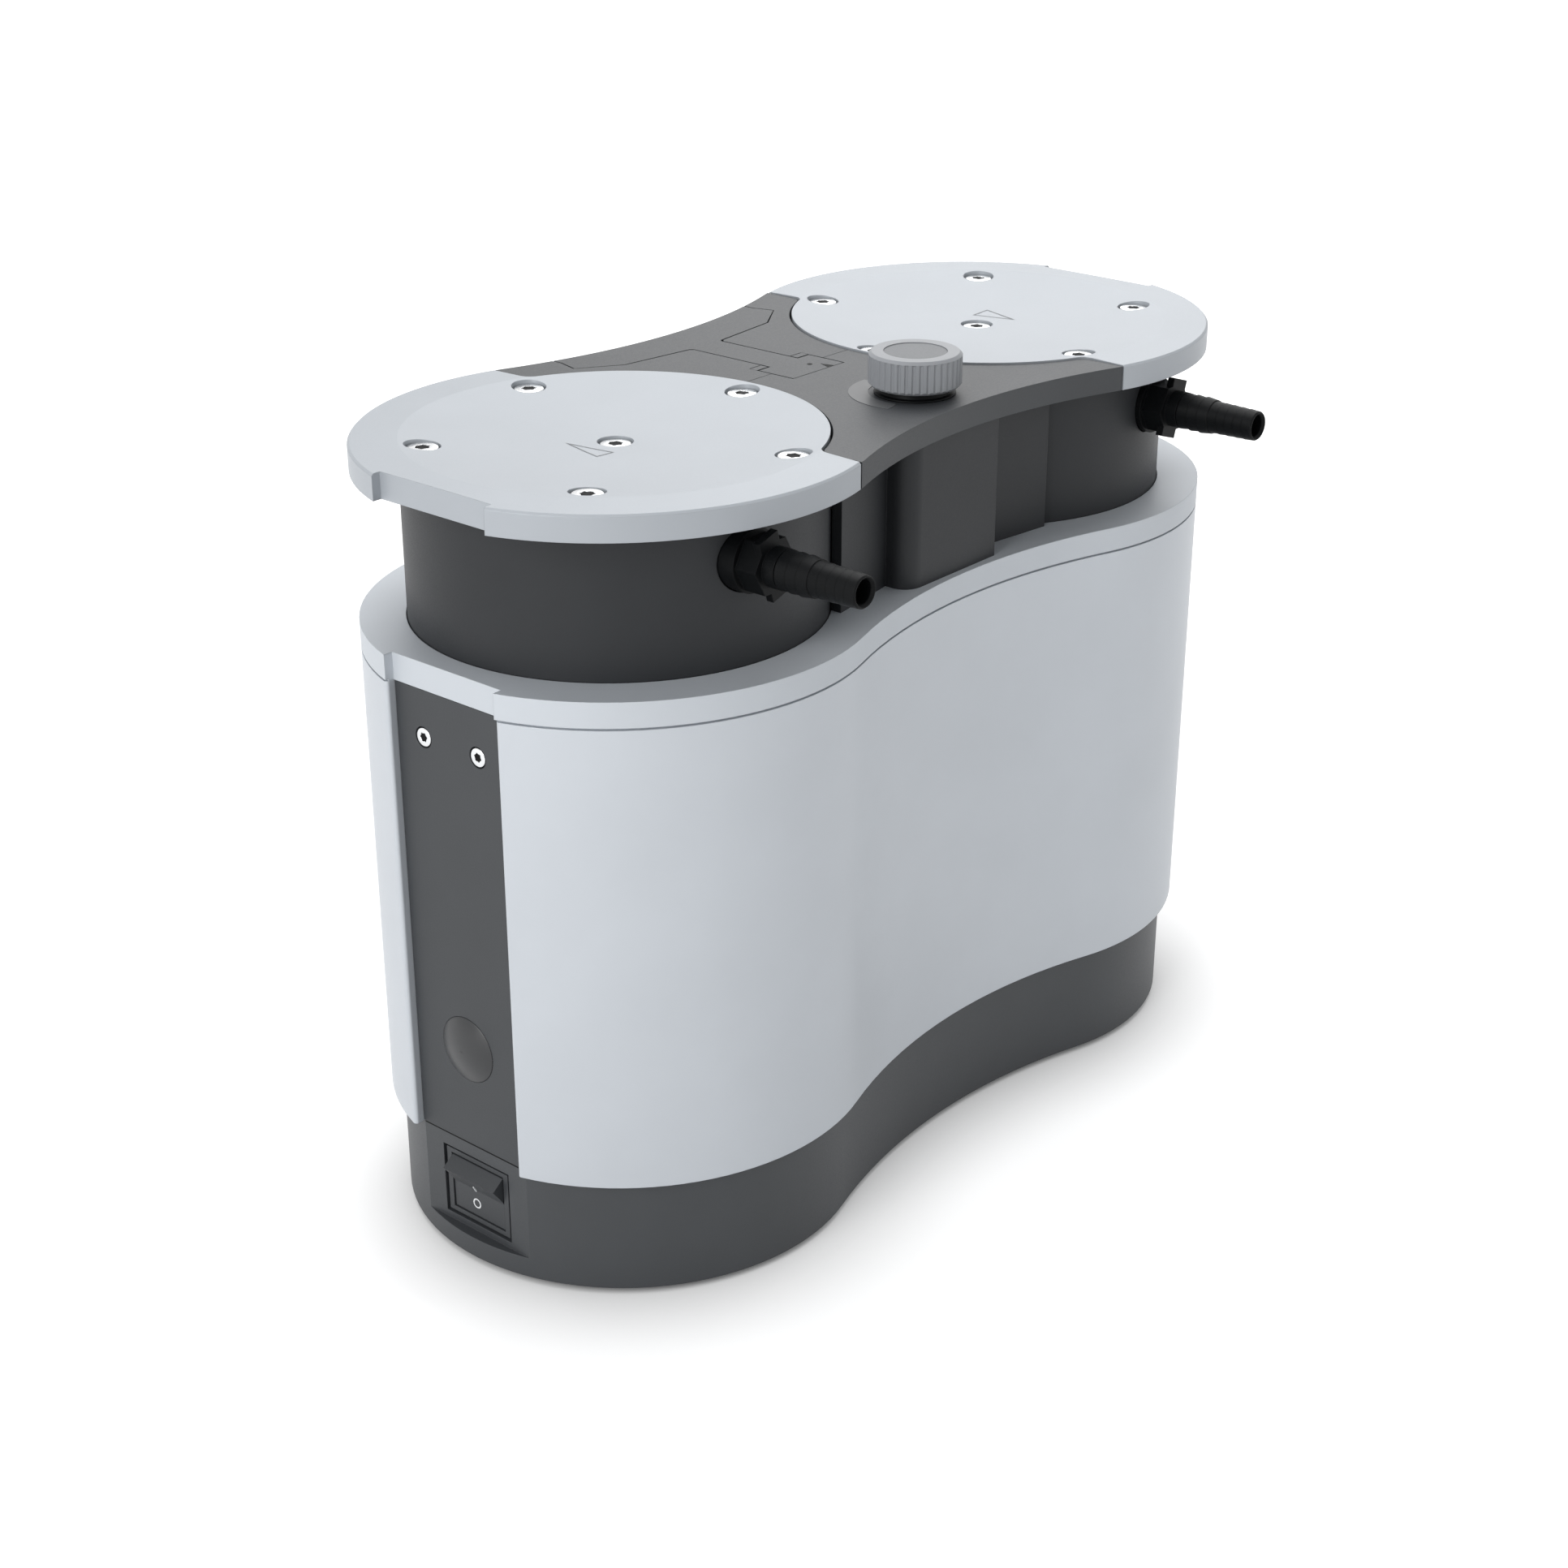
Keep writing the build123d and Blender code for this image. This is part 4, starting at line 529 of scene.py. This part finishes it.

# %% [markdown]
# ## Screws of the top plates
# Each plate is dished and has five screws in a ring and one in the middle. Every copy sits at the height
# of the dish below it and is turned a little further than the last, because nobody stops six screws at
# the same angle. A recess this narrow holds no light, so a thin near-black disc of painted shade closes
# it a little below the top. The copies are joined into one piece for each head.

# %% Screws of the top plates
HEAD_OFFSET = 80.0 * MM
DISH_RADIUS = 57.0 * MM
DISH_DEPTH = 3.4 * MM
DISH_EDGE = 227.5 * MM
PLATE_SCREW_CIRCLE = 50.8 * MM
PLATE_SCREW_COUNT = 5
PLATE_HEAD = (4.3 * MM, 2.6 * MM, 2.3 * MM)  # radius, height, radius of the recess
SCREW_SINK = 3.1 * MM
FIRST_TURN = 17
NEXT_TURN = 23
RECESS_FLOOR = 0.35 * MM
DISC_THICKNESS = 0.1 * MM
DISC_OVERLAP = 1.03


def recess_shade_disc(radius, height, recess):
    """A disc of painted shade that closes the lobed recess a little below the top of its screw."""
    bpy.ops.mesh.primitive_cylinder_add(
        vertices=24, radius=recess * DISC_OVERLAP, depth=DISC_THICKNESS,
        location=(0, 0, height - RECESS_FLOOR),
    )
    return bpy.context.object


def dish_height(radius):
    """Height of a plate's top at a distance from the axis of its head."""
    ball = (DISH_RADIUS**2 + DISH_DEPTH**2) / (2 * DISH_DEPTH)
    return DISH_EDGE - DISH_DEPTH + ball - math.sqrt(ball**2 - radius**2)


def plate_screw_places(side):
    """The middle screw and the ring, as x and y from the axis of the head."""
    places = [(0.0, 0.0)]
    for i in range(PLATE_SCREW_COUNT):
        turn = 2 * math.pi * i / PLATE_SCREW_COUNT
        places.append((-side * PLATE_SCREW_CIRCLE * math.cos(turn), PLATE_SCREW_CIRCLE * math.sin(turn)))
    return places


# painted shade: a near-black finish for discs, strips and marks placed where only shade falls
painted_shade_black = plain_coat(
    "painted_shade_black", 0.6, 2 * MM, (0.004, 0.004, 0.0045), (0.007, 0.007, 0.0075), shine=0.1
)

plate_screw = lobed_screw(*PLATE_HEAD)
plate_shade_disc = recess_shade_disc(*PLATE_HEAD)
for name, side in (("front", -1), ("rear", 1)):
    copies = []
    shade_discs = []
    for i, (x, y) in enumerate(plate_screw_places(side)):
        z = dish_height(math.hypot(x, y)) - SCREW_SINK
        turn = Matrix.Rotation(math.radians(FIRST_TURN + NEXT_TURN * i), 4, "Z")
        lay = Matrix.Translation((side * HEAD_OFFSET + x, y, z)) @ turn
        copies.append(copy_to(plate_screw, lay))
        shade_discs.append(copy_to(plate_shade_disc, lay))
    screws = join("torx_screws_" + name, copies)
    dress(screws, "screw_steel")
    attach(screws, "root")
    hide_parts("plate_screws_" + name)
    shade_discs = join("torx_recesses_" + name, shade_discs)
    dress(shade_discs, "screw_steel", painted_shade_black)
    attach(shade_discs, "root")
bpy.data.objects.remove(plate_screw)
bpy.data.objects.remove(plate_shade_disc)
print("plate screws", 2 * (PLATE_SCREW_COUNT + 1))

# %% [markdown]
# ## Screws of the end strips
# Two smaller screws hold each end strip just below the lid ring. They lie on their side, so each copy is
# turned about Y to face outwards.

# %% Screws of the end strips
STRIP_FACE = 144.0 * MM
STRIP_HEAD = (2.6 * MM, 1.4 * MM, 1.45 * MM)  # radius, height, radius of the recess
STRIP_SCREW = (10.15 * MM, 157.2 * MM)  # distance from the middle, height above the bench
STRIP_TURN = 20

strip_screw = lobed_screw(*STRIP_HEAD)
# painted shade: dark discs close the recesses of the strip screws
strip_shade_disc = recess_shade_disc(*STRIP_HEAD)
copies = []
shade_discs = []
for side in (-1, 1):
    for i, across in enumerate((-1, 1)):
        place = (side * (STRIP_FACE - STRIP_HEAD[1]), across * STRIP_SCREW[0], STRIP_SCREW[1])
        turn = Matrix.Rotation(math.radians(STRIP_TURN * i), 4, "Z")
        lay = Matrix.Rotation(math.radians(90 * side), 4, "Y") @ turn
        copies.append(copy_to(strip_screw, Matrix.Translation(place) @ lay))
        shade_discs.append(copy_to(strip_shade_disc, Matrix.Translation(place) @ lay))
screws = join("torx_screws_strips", copies)
dress(screws, "screw_steel")
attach(screws, "root")
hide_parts("strip_screws")
shade_discs = join("torx_recesses_strips", shade_discs)
dress(shade_discs, "screw_steel", painted_shade_black)
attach(shade_discs, "root")
bpy.data.objects.remove(strip_screw)
bpy.data.objects.remove(strip_shade_disc)
print("strip screws", len(copies))

# %% [markdown]
# ## Dial mark on the cover
# The regulating knob turns over a pale crescent. It is a thin disc with its middle cut out, bisected twice
# to the swept angle, and the end in front is rounded with a bevel.

# %% Dial mark on the cover
KNOB_PLACE = (0.0, -37.8 * MM)
MARK_INNER = 12.9 * MM
MARK_OUTER = 18.4 * MM
MARK_START = math.radians(88)
MARK_SWEEP = math.radians(108)
MARK_THICKNESS = 0.12 * MM
MARK_SIDES = 160
MARK_END_ROUND = 2.0 * MM
ANGLE_SLACK = 0.01

white_print = plain_coat("white_print", 0.5, 3 * MM, (0.74, 0.75, 0.76), (0.80, 0.81, 0.82))
dial_print = plain_coat("dial_print", 0.45, 6 * MM, (0.072, 0.075, 0.079), (0.078, 0.081, 0.085))

cover_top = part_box("cover_knob_side")[1][2]
bpy.ops.mesh.primitive_cylinder_add(
    vertices=MARK_SIDES, radius=MARK_OUTER, depth=MARK_THICKNESS, location=(0, 0, MARK_THICKNESS / 2)
)
mark = bpy.context.object
mark.name = "dial_mark"
bpy.ops.mesh.primitive_cylinder_add(vertices=MARK_SIDES, radius=MARK_INNER, depth=MM, location=(0, 0, 0))
cut_away(mark, bpy.context.object)
settle(mark)
for turn, keep in ((MARK_START, 1), (MARK_START + MARK_SWEEP, -1)):
    across = (-keep * math.sin(turn), keep * math.cos(turn), 0)
    pick(mark, "FACE", lambda face: True)
    bpy.ops.mesh.bisect(plane_co=(0, 0, 0), plane_no=across, use_fill=True, clear_inner=True)
    done_editing(mark)
last = MARK_START + MARK_SWEEP - 2 * math.pi


def narrow_end(a, b):
    """True for the two upright edges at the front end of the mark."""
    upright = abs(a.z - b.z) > MM / 20
    return upright and all(abs(math.atan2(co.y, co.x) - last) < ANGLE_SLACK for co in (a, b))


pick(mark, "EDGE", narrow_end)
bpy.ops.mesh.bevel(offset=MARK_END_ROUND, segments=8)
done_editing(mark)
mark.location = (*KNOB_PLACE, cover_top)
settle(mark)
dress(mark, "knob_grey", dial_print)
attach(mark, "root")
print("dial mark with", len(mark.data.polygons), "faces")

# %% [markdown]
# ## Marks on the rocker
# The rocker switch carries a white ring on its flat foot and a white stroke on the hollow above it. The
# ring is a flattened torus and the stroke a thin block that leans with the hollow. Both are sunk in the
# plastic, so that only their faces show, and ride on the rocker.

# %% Stroke and ring on the rocker
ROCKER_PLACE = (-140.1 * MM, 0.0, 21.3 * MM)
ROCKER_FACE = -143.1 * MM
MARK_SIDE = 1.2 * MM
RING_RADIUS = 1.33 * MM
RING_LINE = 0.23 * MM
RING_FLAT = 0.35
RING_SINK = 0.34 * MM
RING_DROP = 4.6 * MM
STROKE_SIZE = (0.40 * MM, 0.36 * MM, 2.3 * MM)
STROKE_LEAN = -27.7
STROKE_OUT = 3.2 * MM
STROKE_UP = 0.45 * MM

bpy.ops.mesh.primitive_torus_add(
    major_radius=RING_RADIUS, minor_radius=RING_LINE, major_segments=48, minor_segments=8,
    location=(0, 0, 0), rotation=(0, math.radians(90), 0),
)
ring = bpy.context.object
ring.name = "rocker_mark_ring"
ring.scale = (1.0, 1.0, RING_FLAT)
ring.location = (ROCKER_FACE + RING_SINK, MARK_SIDE, ROCKER_PLACE[2] - RING_DROP)
settle(ring)
dress(ring, "switch_plastic", white_print)
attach(ring, "rocker")

bpy.ops.mesh.primitive_cube_add(size=1, location=(0, 0, 0))
stroke = bpy.context.object
stroke.name = "rocker_mark_stroke"
stroke.scale = STROKE_SIZE
stroke.rotation_euler = (0, math.radians(STROKE_LEAN), 0)
stroke.location = (ROCKER_PLACE[0] - STROKE_OUT, MARK_SIDE, ROCKER_PLACE[2] + STROKE_UP)
settle(stroke)
dress(stroke, "switch_plastic", white_print)
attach(stroke, "rocker")
print("ring", round(2 * RING_RADIUS / MM, 2), "mm wide, stroke", round(STROKE_SIZE[2] / MM, 2), "mm long")

# %% [markdown]
# ## Arrows in the plates
# Beside the middle screw of each plate an arrow head is engraved as a thin outline. Each is a flat
# triangle that is subdivided, inset and emptied. What is left, a thin outline in a darker grey of painted
# shade, follows the dish a hair above it and reads as a fine groove.

# %% Arrows
# painted shade: the darker grey stands in for the shade inside the engraved groove
groove_painted_shade = plain_coat("groove_painted_shade", 0.6, 3 * MM, (0.20, 0.21, 0.22), (0.24, 0.25, 0.26))
ARROW_WIDTH = 0.35 * MM
ARROW_RISE = 0.09 * MM
ARROWS = {  # corners in millimetres
    "front": ((-90.0, 8.6), (-93.6, -6.3), (-87.6, -6.8)),
    "rear": ((95.2, 7.2), (87.7, 7.2), (91.3, -6.2)),
}
for end, corners in ARROWS.items():
    side = -1 if end == "front" else 1
    bpy.ops.mesh.primitive_circle_add(vertices=3, radius=5 * MM, fill_type="NGON", location=(0, 0, 0))
    arrow = bpy.context.object
    arrow.name = "arrow_mark_" + end
    for vertex, (x, y) in zip(arrow.data.vertices, corners):
        vertex.co = (x * MM, y * MM, 0)
    pick(arrow, "FACE", lambda face: True)
    bpy.ops.mesh.subdivide(number_cuts=3)
    bpy.ops.object.mode_set(mode="OBJECT")
    pick(arrow, "FACE", lambda face: True)
    bpy.ops.mesh.inset(thickness=ARROW_WIDTH, depth=0)
    bpy.ops.mesh.delete(type="FACE")
    done_editing(arrow)
    for vertex in arrow.data.vertices:
        away = math.hypot(vertex.co.x - side * HEAD_OFFSET, vertex.co.y)
        vertex.co.z = dish_height(away) + ARROW_RISE
    settle(arrow)
    dress(arrow, "plate_paint", groove_painted_shade)
    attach(arrow, "root")
print("arrows", len(ARROWS))

# %% [markdown]
# ## Filling pieces beside the hinge
# The cover is cut out round the handle's hinge. Two small plates close that cut beside the stem, flush
# with the cover.

# %% Hinge fillers
FILL_X = (6.6, 11.4)  # millimetres
FILL_Y = (10.1, 12.9)
FILL_DEEP = 1.6
FILL_ROUND = 0.2 * MM
for name, side in (("left", -1), ("right", 1)):
    place = (
        side * (FILL_X[0] + FILL_X[1]) / 2 * MM,
        (FILL_Y[0] + FILL_Y[1]) / 2 * MM,
        cover_top - FILL_DEEP / 2 * MM,
    )
    bpy.ops.mesh.primitive_cube_add(size=1, location=place)
    filler = bpy.context.object
    filler.name = "hinge_filler_" + name
    filler.scale = ((FILL_X[1] - FILL_X[0]) * MM, (FILL_Y[1] - FILL_Y[0]) * MM, FILL_DEEP * MM)
    settle(filler)
    pick(filler, "EDGE", lambda a, b: abs(a.z - b.z) > MM)
    bpy.ops.mesh.bevel(offset=FILL_ROUND, segments=2)
    done_editing(filler)
    dress(filler, "graphite_plastic")
    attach(filler, "root")
print("hinge fillers", FILL_DEEP, "mm deep")

# %% [markdown]
# ## Collar of the knob
# The collar under the knob is a thin flange with a narrower neck on it. A short cylinder is the flange;
# its top is inset and drawn up for the neck, and the rims are bevelled.

# %% Knob collar
COLLAR_FLANGE = 11.4 * MM
COLLAR_NECK = 9.9 * MM
FLANGE_HIGH = 0.6 * MM
COLLAR_SIDES = 96
COLLAR_BEVEL = 0.15 * MM
collar_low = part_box("knob_collar")[0][2]
collar_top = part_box("knob_collar")[1][2]
flange_top = cover_top + FLANGE_HIGH
bpy.ops.mesh.primitive_cylinder_add(
    vertices=COLLAR_SIDES, radius=COLLAR_FLANGE, depth=flange_top - collar_low,
    location=(*KNOB_PLACE, (flange_top + collar_low) / 2),
)
collar = bpy.context.object
collar.name = "knob_collar_turned"
pick(collar, "FACE", lambda face: face.normal.z > 0.9)
bpy.ops.mesh.inset(thickness=COLLAR_FLANGE - COLLAR_NECK, depth=0)
bpy.ops.mesh.extrude_region_move(TRANSFORM_OT_translate={"value": (0, 0, collar_top - flange_top)})
done_editing(collar)
bevel = collar.modifiers.new("rims", "BEVEL")
bevel.width = COLLAR_BEVEL
bevel.segments = 2
bevel.limit_method = "ANGLE"
bpy.context.view_layer.objects.active = collar
bpy.ops.object.modifier_apply(modifier="rims")
settle(collar)
dress(collar, "black_plastic")
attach(collar, "root")
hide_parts("knob_collar")
print("collar neck", round((collar_top - flange_top) / MM, 2), "mm high")

# %% [markdown]
# ## Painted shade in the seams
# The end strips stop half a millimetre above the base. A thin black strip of painted shade lies a little
# behind the face in each of these seams, so that they read as dark lines from any side.

# %% Painted shade in the seams
SEAM_BACK = 0.05 * MM
SEAM_DEEP = 1.5 * MM
SEAM_HIGH = 0.5 * MM
SEAM_SHORTER = MM
for end, side in (("front", -1), ("rear", 1)):
    strip_low, strip_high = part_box(end + "_strip")
    bpy.ops.mesh.primitive_cube_add(
        size=1,
        location=(side * (STRIP_FACE - SEAM_BACK - SEAM_DEEP / 2), 0, strip_low[2] - SEAM_HIGH / 2),
    )
    seam = bpy.context.object
    seam.name = "seam_painted_shade_" + end
    seam.scale = (SEAM_DEEP, strip_high[1] - strip_low[1] - SEAM_SHORTER, SEAM_HIGH)
    settle(seam)
    dress(seam, "black_rubber", painted_shade_black)
    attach(seam, "root")
print("seam fillings", round(SEAM_HIGH / MM, 2), "mm high")

# %% [markdown]
# ## Dot and notch of the carry handle
# A small near-black round dot and a three-cornered notch of painted shade mark the end of the handle
# where a finger starts to lift it. Both fold with the handle.

# %% Handle marks
DOT_PLACE = (3.5 * MM, 2.9 * MM)
DOT_RADIUS = 0.8 * MM
NOTCH = ((5.9, 0.8), (7.0, -3.1), (4.4, -2.9))  # corners in millimetres
PRINT_THICKNESS = 0.1 * MM
bpy.ops.mesh.primitive_cylinder_add(
    vertices=32, radius=DOT_RADIUS, depth=PRINT_THICKNESS, location=(*DOT_PLACE, cover_top)
)
dot = bpy.context.object
dot.name = "handle_dot"
settle(dot)
dress(dot, "graphite_plastic", painted_shade_black)
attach(dot, "handle")

bpy.ops.mesh.primitive_cylinder_add(vertices=3, radius=2 * MM, depth=PRINT_THICKNESS, location=(0, 0, 0))
notch = bpy.context.object
notch.name = "handle_notch"
for vertex in notch.data.vertices:
    turn = round(math.atan2(vertex.co.y, vertex.co.x) / math.radians(120)) % 3
    x, y = NOTCH[turn]
    vertex.co = (x * MM, y * MM, vertex.co.z + cover_top)
settle(notch)
# painted shade: the notch is a flat near-black triangle in place of the shade in a hollow
dress(notch, "graphite_plastic", painted_shade_black)
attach(notch, "handle")
print("handle dot", round(2 * DOT_RADIUS / MM, 2), "mm wide, notch with", len(NOTCH), "corners")
